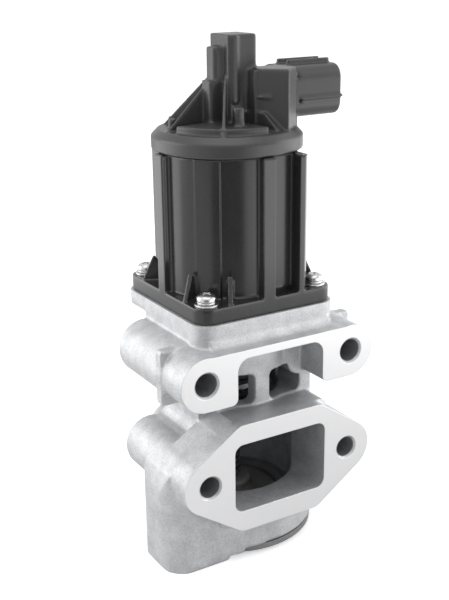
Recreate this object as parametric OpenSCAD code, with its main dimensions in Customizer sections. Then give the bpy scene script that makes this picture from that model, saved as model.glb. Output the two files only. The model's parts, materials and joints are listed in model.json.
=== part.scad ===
// Motor-driven exhaust gas recirculation valve, in millimetres.
// The origin lies on the valve axis at the underside of the base, with +Z up the valve stem.
// Both machined port faces look along -Y, and the wiring socket points along +X.

/* [Seat and poppet] */
// Radius of the round throat that the poppet closes
throat_r = 19.5; // [16:0.5:24]
// Radial width of the cone that the poppet seals on
seat_face = 2; // [1:0.1:3]
// Radial gap that lets gas pass beside the open poppet
gas_gap = 2.5; // [1.5:0.1:5]
// Wall of the seat insert's pressed sleeve
sleeve_wall = 2.5; // [1.5:0.1:4]
// Thickness of the seat insert's base ring
base_ring_h = 2.2; // [1.5:0.1:4]
// Height of the base ring's underside above the base lugs' feet
base_ring_z = 1.5; // [0:0.1:2]
// Height of the seat insert from its underside to its top
seat_depth = 13.5; // [12:0.5:18]
// Travel of the poppet from shut to fully open
lift = 8; // [4:0.5:8]
// Radius of the valve stem
stem_r = 4; // [3:0.25:5]
// Radius of the hub where the poppet meets its stem
hub_r = 8.2; // [6:0.2:10]

/* [Valve housing] */
// Wall of the round gas chamber
chamber_wall = 8.5; // [5:0.5:12]
// Step that the seat insert is pressed against
seat_step = 1.5; // [1:0.1:3]
// Height of the sill between the seat insert and the port floor
port_sill = 10.8; // [8:0.2:16]
// Width of the rectangular gas port
port_w = 41.1; // [32:0.1:50]
// Height of the rectangular gas port
port_h = 27.9; // [22:0.1:34]
// Corner radius of the gas port
port_corner = 3.6; // [2:0.2:6]
// Distance of the machined front faces ahead of the round chamber wall
face_stand = 3.9; // [2:0.1:8]
// Radius of the screw holes beside the gas port
lower_hole_r = 4.15; // [3.3:0.05:5.2]
// Distance from the gas port's side to the screw hole beside it
lower_hole_inset = 10.65; // [10:0.05:14]
// Radius of the ears round the lower screw holes
lower_ear_r = 10.9; // [9:0.1:12]
// Radius of the screw holes in the upper flange
upper_hole_r = 4.5; // [3.3:0.05:5.2]
// Half the distance between the upper flange's screw holes
upper_hole_x = 32; // [31:0.5:38]
// Radius of the ears round the upper screw holes
upper_ear_r = 10.4; // [9:0.1:12]
// Half the width of the arch between the upper ears
arch_half = 19; // [17:0.5:21]
// Height of the arch from the shelf above the gas port to its crown
arch_h = 26.3; // [25:0.1:32]
// Thickness of the bar over the arch
arch_bar = 3.1; // [2:0.1:6]
// Depth of the arch from the front face to the wall with the windows
arch_depth = 15; // [12:0.5:18]
// Thickness of the wall that carries both upper ears
ear_plate_t = 4; // [3:0.5:6]
// Half the width of the neck that holds the return spring
neck_half = 24.7; // [23:0.1:28]
// Radius of the spring chamber
spring_room_r = 19; // [17.5:0.1:20]
// Height of the two windows into the spring chamber
window_h = 12.1; // [8:0.1:14]
// Width of each window
window_w = 15.5; // [10:0.1:16]
// Width of the web between the windows
window_web = 6.6; // [4:0.1:10]
// Thickness of the pad under the motor
pad_h = 7.5; // [6:0.5:10]
// Border of the pad outside the motor's plate
pad_border = 1; // [0:0.1:2]

/* [Base] */
// Diameter of the circle through both base bolts
base_bolt_pcd = 76; // [74:0.5:90]
// Angle of that line of bolts from the X axis
base_bolt_angle = 30; // [20:1:40]
// Core radius of the threaded base holes
base_hole_r = 3.4; // [2.5:0.05:4.2]
// Depth of the threaded base holes
base_hole_depth = 18; // [12:1:24]
// Height of the hidden base lug
lug_h = 34; // [24:1:36]

/* [Return spring] */
// Radius of the return spring's wire
spring_wire_r = 1.15; // [0.8:0.05:1.3]
// Radius to the middle of the return spring's wire
spring_mean_r = 13.3; // [12.8:0.1:14.5]
// Height of the return spring while the valve is shut
spring_h = 27.2; // [26:0.2:32]
// Number of turns of the return spring
spring_turns = 6; // [5:0.5:7]

/* [Motor case] */
// Radius of the motor case
case_r = 26; // [24:0.5:32]
// Wall of the motor case round the stator
case_wall = 2.6; // [2.2:0.1:4]
// Height of the motor case above its plate
case_h = 52; // [50:1:60]
// Distance from the case to the sides of its square plate
plate_margin = 3.5; // [3:0.1:6]
// Thickness of the square plate
plate_t = 6; // [5:0.5:9]
// Corner radius of the square plate
plate_corner = 6; // [4:0.5:8]
// Distance of the case screws from the plate's sides
screw_inset = 5.75; // [5.5:0.05:7]
// Width of the four upright pilasters
pilaster_w = 5.3; // [4:0.1:8]
// Height of the small gussets at the case's foot
gusset_h = 11; // [6:0.5:16]
// Thickness of the small gussets
gusset_t = 1.9; // [1.2:0.1:3]

/* [Motor inside] */
// Height of the stator's stack
stack_h = 24; // [20:1:26]
// Number of stator teeth
teeth = 9; // [6:3:9]
// Radius of the stator's bore
stator_bore_r = 14.2; // [13.6:0.1:14.4]
// Radial gap between the rotor magnet and the stator teeth
air_gap = 0.6; // [0.4:0.05:1]
// Radius of the lead screw
lead_screw_r = 4; // [3.5:0.1:4.2]
// Bore radius of the rotor's bearings
bearing_bore_r = 7.5; // [7:0.1:8]
// Outer radius of the rotor's bearings
bearing_r = 12; // [11.8:0.1:12.5]
// Width of the rotor's bearings
bearing_w = 5; // [4:0.5:5]
// Number of balls in each bearing
balls = 11; // [7:1:12]

/* [Cover] */
// Height of the cover's outer ring
ring_h = 5; // [4:0.5:8]
// Overhang of the cover's ring outside the motor case
ring_over = 2.5; // [1.5:0.1:4]
// Height of the bevel above the ring
bevel_h = 2.5; // [1.5:0.1:4]
// Height of the raised centre above the bevel
plateau_h = 2.6; // [1.5:0.1:4]
// Height of the tall sensor tower above the bevel
tower_h = 33.8; // [30:0.1:40]
// Width of the sensor tower along X
tower_w = 12.2; // [10:0.1:14]
// Depth of the sensor tower along Y
tower_d = 14; // [12:0.1:16]
// Height of the wiring chimney above the bevel
chimney_h = 21.9; // [20:0.1:26]
// Radius of the sensor rod
rod_r = 2; // [1.5:0.1:2.2]

/* [Socket] */
// Distance from the valve axis to the socket's mouth
socket_reach = 45.4; // [43:0.1:52]
// Width of the socket's shell
socket_w = 20; // [18:0.5:26]
// Height of the socket's shell
socket_h = 19.3; // [17:0.1:22]
// Wall of the socket's shell
socket_wall = 1.7; // [1.2:0.1:2.5]
// Depth of the socket
socket_depth = 16; // [12:0.5:16]
// Corner radius of the socket's shell
socket_corner = 5; // [3:0.5:6]
// Number of terminal pins in each of two rows
pins_per_row = 4; // [3:1:4]
// Spacing of the terminal pins
pin_pitch = 3.4; // [3:0.1:3.8]

/* [Fits] */
// Radial clearance of parts that slide or turn
running = 0.05; // [0.02:0.01:0.1]
// Radial clearance of parts that stay still in each other
snug = 0.02; // [0.01:0.01:0.05]
// Gap between the shut poppet and its seat
seat_gap = 0.1; // [0.05:0.05:0.2]
// Play between the lead screw's tip and the valve stem
lash = 0.1; // [0.05:0.05:0.3]

/* [Hidden] */
$fn = 96;
eps = 0.01;
cast_grey = [0.8, 0.8, 0.78];
steel_grey = [0.62, 0.62, 0.64];
zinc_grey = [0.78, 0.78, 0.8];
brass_tone = [0.72, 0.55, 0.3];
case_black = [0.13, 0.13, 0.14];
rubber_black = [0.06, 0.06, 0.06];

// Seat and gas chamber
poppet_r = throat_r + seat_face;
inlet_r = poppet_r + gas_gap;
sleeve_r = inlet_r + sleeve_wall;
chamber_r = sleeve_r - seat_step;
body_r = chamber_r + chamber_wall;
seat_lip = 4;
cone_top_z = seat_depth - 1.5;
poppet_z = cone_top_z - seat_face - 1.4;
port_floor_z = seat_depth + port_sill;
port_top_z = port_floor_z + port_h;
port_z = port_floor_z + port_h / 2;
chamber_top_z = port_top_z + 1.8;
deck_z = chamber_top_z + 4;
shelf_z = chamber_top_z + 6;
face_y = body_r + face_stand;

// Flanges and neck
lower_hole_x = max(port_w / 2 + lower_hole_inset, chamber_r + lower_hole_r + 1.9);
lower_bottom_z = port_floor_z - 8.6;
boss_back_r = 11;
lower_boss_back = 12.5;
upper_z = shelf_z + arch_h - 7;
upper_boss_back = 13.5;
arch_top_z = shelf_z + arch_h;
flange_top_z = arch_top_z + arch_bar;
housing_h = flange_top_z + 1.3 + pad_h;
wall_y = face_y - arch_depth;
plate_half = case_r + plate_margin;
pad_half = plate_half + pad_border;
screw_xy = plate_half - screw_inset;
screw_r = 2;
screw_hole_depth = 6.5;

// Stem and spring
bush_r = stem_r + 3;
boss_r = bush_r + 3.5;
scraper_h = 3;
seal_h = 3;
seal_r = bush_r + 0.5;
spring_seat_t = 0.8;
retainer_z = deck_z + spring_seat_t + spring_h;
retainer_t = 1.6;
retainer_hub_h = 2.8;
boss_top_z = retainer_z - retainer_hub_h - lift - 0.7;
groove_z = retainer_z + retainer_t + 1.2;
clip_t = 1;
stem_top_z = groove_z + clip_t + 3.1;

// Motor
plate_top_z = housing_h + plate_t;
case_bore_r = case_r - case_wall;
case_top_z = plate_top_z + case_h;
stator_z = plate_top_z + 13.8;
stator_top_z = stator_z + stack_h;
winding_over = 2.4;
board_z = stator_top_z + winding_over + 2.6;
board_t = 1.6;
board_r = case_bore_r + 0.8;
magnet_r = stator_bore_r - air_gap;
core_r = bearing_bore_r + 2;
race_t = 1.25;
ball_path_r = (bearing_bore_r + bearing_r) / 2;
ball_r = (bearing_r - bearing_bore_r) / 2 - 0.85;
lower_bearing_z = plate_top_z;
upper_bearing_z = case_top_z - 2.2;
bearing_boss_r = bearing_r + 2.5;
nut_bore_r = lead_screw_r + running;
nut_r = nut_bore_r + 1.5;
sleeve_bore_r = nut_r + snug;
screw_tip_z = stem_top_z + lash;
screw_top_z = board_z + board_t + 1.4;
flat_half = lead_screw_r * 0.8;
guide_r = lead_screw_r + 3.5;

// Cover
ring_r = case_r + ring_over;
ring_top_z = case_top_z + ring_h;
bevel_z = ring_top_z + bevel_h;
bevel_r = case_r;
plateau_z = bevel_z + plateau_h;
plateau_r = case_r - 1.7;
cover_floor_z = bevel_z - 0.6;
tower_x = 1.65;
tower_y = -2.65;
tower_x0 = tower_x - tower_w / 2;
tower_y0 = tower_y - tower_d / 2;
tower_top_z = bevel_z + tower_h;
chimney_z = bevel_z + chimney_h;
socket_z = chimney_z - 0.8 - socket_h / 2;
rod_z = screw_top_z + lash;
rod_top_z = rod_z + 27.8;
sensor_magnet_h = 6;
rod_bore_top_z = tower_top_z - 2;
chip_z = rod_top_z - 2;
chip_y = tower_y0 + 3.4;
lead_y = -(bearing_boss_r + 1.5);

// Shapes that several pieces share

// Rectangle with round corners, centred on the origin
module round_rect(w, h, r) {
    square([w - 2 * r, h], center = true);
    square([w, h - 2 * r], center = true);
    for (sx = [-1, 1], sy = [-1, 1])
        translate([sx * (w / 2 - r), sy * (h / 2 - r)]) circle(r);
}

// Unit vector along the outer tangent's normal between two circles [x, y, r]
function tangent_normal(a, b) =
    let (d = [b[0] - a[0], b[1] - a[1]], len = norm(d), u = d / len,
        s = (a[2] - b[2]) / len, c = sqrt(1 - s * s))
    [u[0] * s + u[1] * c, u[1] * s - u[0] * c];

// Both tangent points between two circles
function tangent_points(a, b) =
    let (m = tangent_normal(a, b))
    [[a[0] + a[2] * m[0], a[1] + a[2] * m[1]], [b[0] + b[2] * m[0], b[1] + b[2] * m[1]]];

// Band wrapped tightly round circles that are listed anticlockwise. Each circle is drawn a hair
// larger, so that it crosses its two tangents instead of grazing them.
module wrap(circles) {
    n = len(circles);
    polygon([for (i = [0:n - 1]) each tangent_points(circles[i], circles[(i + 1) % n])]);
    for (c = circles) translate([c[0], c[1]]) circle(c[2] + eps);
}

// Turns an outline drawn in X and Z into a slab from y_back towards the front
module front_slab(y_back, depth) {
    translate([0, y_back, 0]) rotate([90, 0, 0]) linear_extrude(depth) children();
}

// Tube round Z
module tube(r_out, r_in, z0, z1) {
    translate([0, 0, z0]) difference() {
        cylinder(r = r_out, h = z1 - z0);
        translate([0, 0, -1]) cylinder(r = r_in, h = z1 - z0 + 2);
    }
}

// Outline with square upper corners and round lower ones, standing on the X axis
module soft_foot(w, h, r) {
    translate([-w / 2, r]) square([w, h - r]);
    translate([-w / 2 + r, 0]) square([w - 2 * r, h]);
    for (s = [-1, 1]) translate([s * (w / 2 - r), r]) circle(r);
}

// Block with rounded upright corners and a rounded lower edge, from z0 to z1
module slab_soft_below(half_x, half_y, corner, edge, z0, z1) {
    h = z1 - z0;
    translate([0, 0, z0]) intersection() {
        linear_extrude(h) round_rect(2 * half_x, 2 * half_y, corner);
        translate([0, half_y + 1, 0]) rotate([90, 0, 0]) linear_extrude(2 * half_y + 2)
            soft_foot(2 * half_x, h + 1, edge);
        translate([-half_x - 1, 0, 0]) rotate([90, 0, 90]) linear_extrude(2 * half_x + 2)
            soft_foot(2 * half_y, h + 1, edge);
    }
}

// Round boss along Y with a softened back rim
module boss_y(x, z, r, y_front, y_back) {
    soft = 2.5;
    translate([x, y_front, z]) rotate([-90, 0, 0]) rotate_extrude() {
        square([r, y_back - y_front - soft]);
        square([r - soft, y_back - y_front]);
        intersection() {
            translate([r - soft, y_back - y_front - soft]) circle(soft);
            square([r, y_back - y_front]);
        }
    }
}

// Wedge of a turn between two angles, for cutting sectors
module sector(r, a0, a1) {
    mid = (a0 + a1) / 2;
    far = r / cos((a1 - a0) / 4);
    polygon([[0, 0], r * [cos(a0), sin(a0)], far * [cos((a0 + mid) / 2), sin((a0 + mid) / 2)],
        r * [cos(mid), sin(mid)], far * [cos((a1 + mid) / 2), sin((a1 + mid) / 2)],
        r * [cos(a1), sin(a1)]]);
}

// Height of a spring's wire at a share of its length, with a flat turn at each end
function coil_height(share, turns, h) =
    h * min(1, max(0, (share * turns - 0.75) / (turns - 1.5)));

// Spring of round wire between z0 and z1
module coil_spring(mean_r, wire_r, z0, z1, turns, steps, sides) {
    rings = round(turns * steps);
    rise = z1 - z0 - 2 * wire_r;
    points = [for (i = [0:rings]) let (a = 360 * turns * i / rings,
            z = z0 + wire_r + coil_height(i / rings, turns, rise))
        for (k = [0:sides - 1]) let (b = 360 * k / sides, r = mean_r + wire_r * cos(b))
            [r * cos(a), r * sin(a), z + wire_r * sin(b)]];
    walls = [for (i = [0:rings - 1], k = [0:sides - 1])
        [i * sides + k, i * sides + (k + 1) % sides,
            (i + 1) * sides + (k + 1) % sides, (i + 1) * sides + k]];
    start = [for (k = [sides - 1:-1:0]) k];
    finish = [for (k = [0:sides - 1]) rings * sides + k];
    polyhedron(points, concat([start], walls, [finish]), convexity = 10);
}

// Valve housing: the cast body with its two machined flanges

// Round gas chamber with a rounded shoulder
module gas_body() {
    shoulder = 9;
    top = port_top_z - 3.7;
    foot = base_ring_z + base_ring_h;
    relief = 1;
    rotate_extrude() difference() {
        union() {
            translate([0, foot]) square([body_r, top - shoulder - foot]);
            square([body_r - shoulder, top]);
            translate([body_r - shoulder, top - shoulder]) circle(shoulder);
        }
        translate([body_r - relief, 0]) square([relief + 1, foot + relief]);
        translate([-shoulder * 2, -1]) square([shoulder * 2, top + 2]);
        square([body_r + 1, foot]);
    }
}

// Six-sided outline of the lower flange
module lower_outline() {
    corner = 6;
    half_top = port_w / 2 - 4;
    half_low = port_w / 2 - 5;
    wrap([[-half_low, lower_bottom_z + corner, corner], [half_low, lower_bottom_z + corner, corner],
        [lower_hole_x, port_z, lower_ear_r], [half_top, shelf_z - corner, corner],
        [-half_top, shelf_z - corner, corner], [-lower_hole_x, port_z, lower_ear_r]]);
}

// Bridge-shaped outline of the upper flange, open below between its ears
module upper_outline() {
    low = upper_z - upper_ear_r;
    inner = 2.5;
    arch_corner = 5;
    for (s = [-1, 1]) {
        translate([s * upper_hole_x, upper_z]) circle(upper_ear_r);
        mirror([s < 0 ? 1 : 0, 0]) {
            translate([arch_half + inner, low]) square([upper_hole_x - arch_half - inner, 6]);
            translate([arch_half, low + inner])
                square([upper_hole_x - arch_half, flange_top_z - low - inner]);
            translate([arch_half + inner, low + inner]) circle(inner);
            translate([arch_half - arch_corner, arch_top_z - arch_corner]) difference() {
                square(arch_corner + eps);
                circle(arch_corner);
            }
        }
    }
    translate([-upper_hole_x, arch_top_z]) square([2 * upper_hole_x, arch_bar]);
}

// Upper flange with its square-cornered wall and the long bosses behind it
module upper_flange() {
    low = upper_z - upper_ear_r - 0.9;
    plate_x = upper_hole_x + upper_ear_r + 0.1;
    front_slab(-wall_y, arch_depth) upper_outline();
    front_slab(-wall_y + ear_plate_t, ear_plate_t)
        translate([0, (low + flange_top_z) / 2])
            round_rect(2 * plate_x, flange_top_z - low, 1.2);
    for (s = [-1, 1]) {
        boss_y(s * upper_hole_x, upper_z, boss_back_r, -wall_y, upper_boss_back);
        translate([s > 0 ? neck_half - 3 : -upper_hole_x, -wall_y, upper_z - 6])
            cube([upper_hole_x - neck_half + 3, wall_y + upper_boss_back - 3, 14]);
    }
}

// Lower flange with its deep upper half, the duct behind it and its long bosses
module lower_flange() {
    flange_t = 9;
    deep = 21;
    front_slab(-face_y + flange_t, flange_t) lower_outline();
    front_slab(-face_y + deep, deep - 1) intersection() {
        lower_outline();
        translate([-lower_hole_x, port_z]) square([2 * lower_hole_x, port_h]);
    }
    front_slab(-10, face_y - 10 - flange_t / 2) translate([0, (lower_bottom_z + shelf_z) / 2])
        round_rect(2 * neck_half, shelf_z - lower_bottom_z, 4);
    for (s = [-1, 1])
        boss_y(s * lower_hole_x, port_z, boss_back_r, s < 0 ? -face_y + 2 : -face_y + flange_t - 1,
            lower_boss_back);
}

// Neck round the return spring, square in front, with its softened pad under the motor
module neck() {
    front_corner = 1.5;
    foot_z = port_z;
    translate([0, 0, foot_z]) linear_extrude(housing_h - 2 - foot_z)
        wrap([[-neck_half + front_corner, -wall_y + front_corner, front_corner],
            [neck_half - front_corner, -wall_y + front_corner, front_corner], [0, 0, neck_half]]);
    slab_soft_below(pad_half, pad_half, plate_corner + pad_border, 4,
        housing_h - pad_h, housing_h);
    pad_foot();
    for (s = [-1, 1]) neck_cove(s);
}

// Hollow fillet where the neck's side meets the round body
module neck_cove(s) {
    cove = 3;
    z0 = port_top_z - 4.5;
    mirror([s > 0 ? 1 : 0, 0, 0])
        translate([-neck_half - cove, 4, z0]) rotate([90, 0, 0]) linear_extrude(22) difference() {
            translate([0, -3]) square([cove + 1, cove + 3]);
            translate([0, cove]) circle(cove);
            translate([-cove - 1, cove - eps]) square([2 * cove, 1]);
        }
}

// Straight front half of the pad, which stands on the upper flange in a cove
module pad_foot() {
    cove = 3.2;
    half = pad_half - 4;
    back_y = 12.5;
    foot = flange_top_z - 1.4;
    translate([0, 0, foot]) linear_extrude(housing_h - foot) intersection() {
        round_rect(2 * pad_half, 2 * pad_half, plate_corner + pad_border);
        translate([-pad_half - 1, -pad_half - 1]) square([2 * pad_half + 2, pad_half + 1 + back_y]);
    }
    translate([-half, 0, 0]) rotate([90, 0, 90]) linear_extrude(2 * half)
        translate([-pad_half - cove, flange_top_z - eps]) difference() {
            square(cove + eps);
            translate([0, cove]) circle(cove);
        }
}

// Lugs that take the base bolts: one under the left ear, one across the axis from it
module base_lugs() {
    out_x = 11.7;
    in_x = 14.3;
    front = 11.9;
    back = 13.9;
    half_x = (out_x + in_x) / 2;
    half_y = (front + back) / 2;
    lug_x = -base_bolt_pcd / 2 * cos(base_bolt_angle) + (in_x - out_x) / 2;
    lug_y = -base_bolt_pcd / 2 * sin(base_bolt_angle) + (back - front) / 2;
    for (turn = [0, 180]) rotate([0, 0, turn]) {
        height = turn == 0 ? port_z : lug_h;
        translate([lug_x, lug_y, 0]) intersection() {
            slab_soft_below(half_x + 0.05, half_y + 0.05, 1, 1.4, 0, height);
            linear_extrude(height) wrap([[-half_x + 11, -half_y + 11, 11], [half_x - 2, -half_y + 2, 2],
                [half_x - 6, half_y - 6, 6], [-half_x + 6, half_y - 6, 6]]);
        }
        lug_web(lug_x + half_x - 3, lug_y - half_y, turn == 0 ? lower_bottom_z + 2 : lug_h);
    }
}

// Web that runs from a lug's front face into the round body, almost in the plane that touches it
module lug_web(x, y, top_z) {
    touch_r = body_r - 0.2;
    touch = atan2(-y, -x) + acos(touch_r / norm([x, y]));
    foot = base_ring_z + base_ring_h;
    low_z = base_ring_z + 0.5;
    difference() {
        translate([0, 0, low_z]) linear_extrude(top_z - low_z) polygon([[x, y],
            [-touch_r * cos(touch), -touch_r * sin(touch)], [0, y * 0.5], [x, y * 0.5]]);
        translate([x * 0.6, 2 * y, 0]) cube([-x, -2 * y, foot]);
    }
}

// Windows from the arch into the spring chamber, each with a stepped upper corner
module windows() {
    step = 5.5;
    corner = 2.4;
    for (s = [-1, 1]) translate([s * (window_web + window_w) / 2, 0, 0])
        front_slab(-spring_room_r * 0.35, wall_y)
            translate([0, shelf_z + 0.8 + window_h / 2]) difference() {
                round_rect(window_w, window_h, corner);
                translate([s * (window_w / 2), window_h / 2]) circle(step);
            }
}

// Everything that is cut out of the casting
module housing_cuts() {
    translate([0, 0, -1]) cylinder(r = chamber_r, h = port_top_z - 11.2);
    translate([0, 0, -1]) cylinder(r = chamber_r - 4.5, h = chamber_top_z + 1);
    intersection() {
        cylinder(r = chamber_r, h = port_top_z - 0.2);
        translate([-chamber_r, -chamber_r - 1, 0]) cube([2 * chamber_r, chamber_r - 13, port_top_z]);
    }
    translate([0, 0, -1]) cylinder(r = sleeve_r + snug, h = seat_depth + 1);
    translate([0, 0, -1]) cylinder(r = body_r - 0.25, h = base_ring_z + base_ring_h + 1 + eps);
    front_slab(0, face_y + 1) translate([0, port_z]) round_rect(port_w, port_h, port_corner);
    translate([0, 0, boss_top_z]) cylinder(r = spring_room_r, h = housing_h - boss_top_z + 1);
    tube(spring_room_r, boss_r, deck_z, boss_top_z + eps);
    translate([0, 0, chamber_top_z - 1]) cylinder(r = bush_r + 1, h = scraper_h + 1);
    translate([0, 0, chamber_top_z]) cylinder(r = bush_r + snug, h = boss_top_z);
    translate([0, 0, boss_top_z - seal_h]) cylinder(r = seal_r + snug, h = seal_h + 1);
    windows();
    for (s = [-1, 1]) {
        bolt_hole(s * upper_hole_x, upper_z, upper_hole_r, upper_boss_back);
        bolt_hole(s * lower_hole_x, port_z, lower_hole_r, lower_boss_back);
    }
    for (sx = [-1, 1], sy = [-1, 1])
        translate([sx * screw_xy, sy * screw_xy, housing_h - screw_hole_depth])
            cylinder(r = screw_r + snug, h = screw_hole_depth + 1);
    for (turn = [0, 180]) rotate([0, 0, base_bolt_angle + turn])
        translate([base_bolt_pcd / 2, 0, -1]) {
            cylinder(r = base_hole_r, h = base_hole_depth + 1);
            cylinder(r1 = base_hole_r + 1.4, r2 = base_hole_r, h = 1.4);
        }
}

// Through hole along Y with a small countersink at the machined face
module bolt_hole(x, z, r, y_back) {
    translate([x, -face_y - 1, z]) rotate([-90, 0, 0]) {
        cylinder(r = r, h = face_y + y_back + 2);
        cylinder(r1 = r + 1.4, r2 = r, h = 1.4);
    }
}

module valve_housing() {
    color(cast_grey) difference() {
        union() {
            gas_body();
            lower_flange();
            upper_flange();
            neck();
            base_lugs();
        }
        housing_cuts();
    }
}

// Valve train

// Seat insert: base ring, pressed sleeve and the lip with its 45 degree cone
module valve_seat() {
    ring_edge = body_r - 0.5;
    ring_top = base_ring_z + base_ring_h;
    color(steel_grey) rotate_extrude() polygon([
        [inlet_r, base_ring_z], [ring_edge, base_ring_z], [ring_edge, ring_top],
        [sleeve_r, ring_top],
        [sleeve_r, seat_depth], [throat_r, seat_depth], [throat_r, cone_top_z],
        [throat_r + cone_top_z - (seat_depth - seat_lip), seat_depth - seat_lip],
        [inlet_r, seat_depth - seat_lip]]);
}

// Poppet: a disc with a sealing cone under a rounded hub
module poppet() {
    cone = throat_r + cone_top_z - seat_gap * sqrt(2);
    rim_z = cone - poppet_r;
    top_z = cone_top_z + 0.3;
    hub_top_z = seat_depth + 5;
    round = 1.8;
    dish = 3.5;
    color(steel_grey) rotate_extrude() difference() {
        union() {
            polygon([[stem_r, poppet_z], [poppet_r - 0.6, poppet_z], [poppet_r, poppet_z + 0.6],
                [poppet_r, rim_z], [cone - top_z, top_z], [hub_r + dish, top_z],
                [hub_r, top_z + dish], [hub_r, hub_top_z - round],
                [hub_r - round, hub_top_z - round], [hub_r - round, hub_top_z],
                [stem_r, hub_top_z]]);
            translate([hub_r - round, hub_top_z - round]) circle(round);
        }
        translate([hub_r + dish, top_z + dish]) circle(dish);
    }
}

module valve_stem() {
    neck_r = stem_r - 0.9;
    tip = 0.6;
    color(steel_grey) rotate_extrude() polygon([
        [0, poppet_z], [stem_r - snug, poppet_z], [stem_r - snug, seat_depth + 5],
        [stem_r, seat_depth + 6], [stem_r, retainer_z - 3], [neck_r + 0.5, retainer_z - 3],
        [neck_r + 0.5, groove_z], [neck_r, groove_z], [neck_r, groove_z + clip_t],
        [neck_r + 0.5, groove_z + clip_t], [neck_r + 0.5, stem_top_z - tip],
        [neck_r + 0.5 - tip, stem_top_z], [0, stem_top_z]]);
}

// Cup that keeps soot out of the bush
module stem_scraper() {
    wall = 0.8;
    color(steel_grey) translate([0, 0, chamber_top_z]) rotate_extrude() polygon([
        [stem_r + running, 0], [bush_r + 1 - snug, 0], [bush_r + 1 - snug, scraper_h],
        [bush_r + 1 - wall, scraper_h], [bush_r + 1 - wall, wall],
        [stem_r + running + wall, wall], [stem_r + running + wall, scraper_h - wall],
        [stem_r + running, scraper_h - wall]]);
}

module stem_bush() {
    color(brass_tone)
        tube(bush_r, stem_r + running, chamber_top_z + scraper_h, boss_top_z - seal_h);
}

// Lip seal above the bush
module stem_seal() {
    color(rubber_black) translate([0, 0, boss_top_z - seal_h]) rotate_extrude() polygon([
        [stem_r + 1, 0], [seal_r, 0], [seal_r, seal_h], [stem_r + running, seal_h],
        [stem_r + running, seal_h - 0.8], [stem_r + 1, seal_h - 1.4]]);
}

// Dished washer under the return spring
module spring_seat() {
    color(zinc_grey) translate([0, 0, deck_z]) rotate_extrude() {
        translate([boss_r + 0.2, 0]) square([spring_mean_r - boss_r + 2, spring_seat_t]);
        translate([boss_r + 0.2, 0])
            square([min(0.7, spring_mean_r - spring_wire_r - boss_r - 0.3), 3.4]);
    }
}

module return_spring() {
    color(zinc_grey) coil_spring(spring_mean_r, spring_wire_r, deck_z + spring_seat_t,
        retainer_z, spring_turns, 26, 8);
}

// Pressed cup that the return spring lifts
module spring_retainer() {
    hub = stem_r - 0.4 + snug;
    rim_r = spring_mean_r + spring_wire_r + 0.3;
    color(zinc_grey) translate([0, 0, retainer_z]) rotate_extrude() {
        translate([hub, 0]) square([rim_r - hub + 1, retainer_t]);
        translate([rim_r, -2]) square([1, 2 + retainer_t]);
        translate([hub, -retainer_hub_h])
            square([spring_mean_r - spring_wire_r - 0.4 - hub, retainer_hub_h + 0.2]);
        translate([hub, retainer_t - eps]) square([3, 1.2 + eps]);
    }
}

// Open spring clip in the stem's groove
module retainer_clip() {
    color(steel_grey) translate([0, 0, groove_z]) linear_extrude(clip_t) difference() {
        circle(stem_r + 2.2);
        circle(stem_r - 0.9 + snug);
        translate([0, -stem_r]) square([2.6, 2 * stem_r + 2], center = true);
    }
}

// Motor case and its fasteners

// Sealing ring between the casting and the motor
module case_seal() {
    color(rubber_black) translate([0, 0, housing_h + 1]) rotate_extrude()
        translate([spring_room_r + 2.9, 0]) circle(0.98);
}

// Upright pilasters and small radial gussets round the case
module case_trim() {
    foot = plate_top_z - eps;
    gusset_angle = 30;
    edge_r = plate_half / cos(gusset_angle) - 0.5;
    apex_r = case_r + 3.3;
    for (turn = [0, 90, 180, 270]) rotate([0, 0, turn])
        translate([-plate_half, -pilaster_w / 2, foot])
            cube([plate_half - case_r + 1, pilaster_w, case_h]);
    for (a = [gusset_angle, 90 - gusset_angle, 180 - gusset_angle], turn = [0, 180])
        rotate([0, 0, a + turn]) translate([0, gusset_t / 2, foot]) rotate([90, 0, 0])
            linear_extrude(gusset_t) polygon([[case_r - 1, 0], [edge_r, 0], [apex_r, gusset_h - 1.3],
                [apex_r - 0.7, gusset_h - 1.3], [case_r - 1, gusset_h / 2]]);
}

// Raised panels on the case's wall and the angled keys beside the front and back pilasters
module case_panels() {
    raise = 1;
    key_x = 13.1;
    for (a = [[181, 213], [213, 233], [303, 309]])
        translate([0, 0, plate_top_z - eps]) linear_extrude(case_h) intersection() {
            circle(case_r + (a[0] == 181 ? raise * 0.8 : raise));
            sector(case_r * 1.2, a[0], a[1]);
        }
    for (turn = [0, 180]) rotate([0, 0, turn])
        translate([0, 0, plate_top_z - eps]) linear_extrude(case_h - 0.6)
            polygon([[key_x, -plate_half], [key_x + 2.3, -plate_half],
                [key_x + 5, -plate_half + 2.7], [key_x + 5, -case_r * 0.7],
                [key_x, -case_r * 0.7]]);
}

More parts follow.
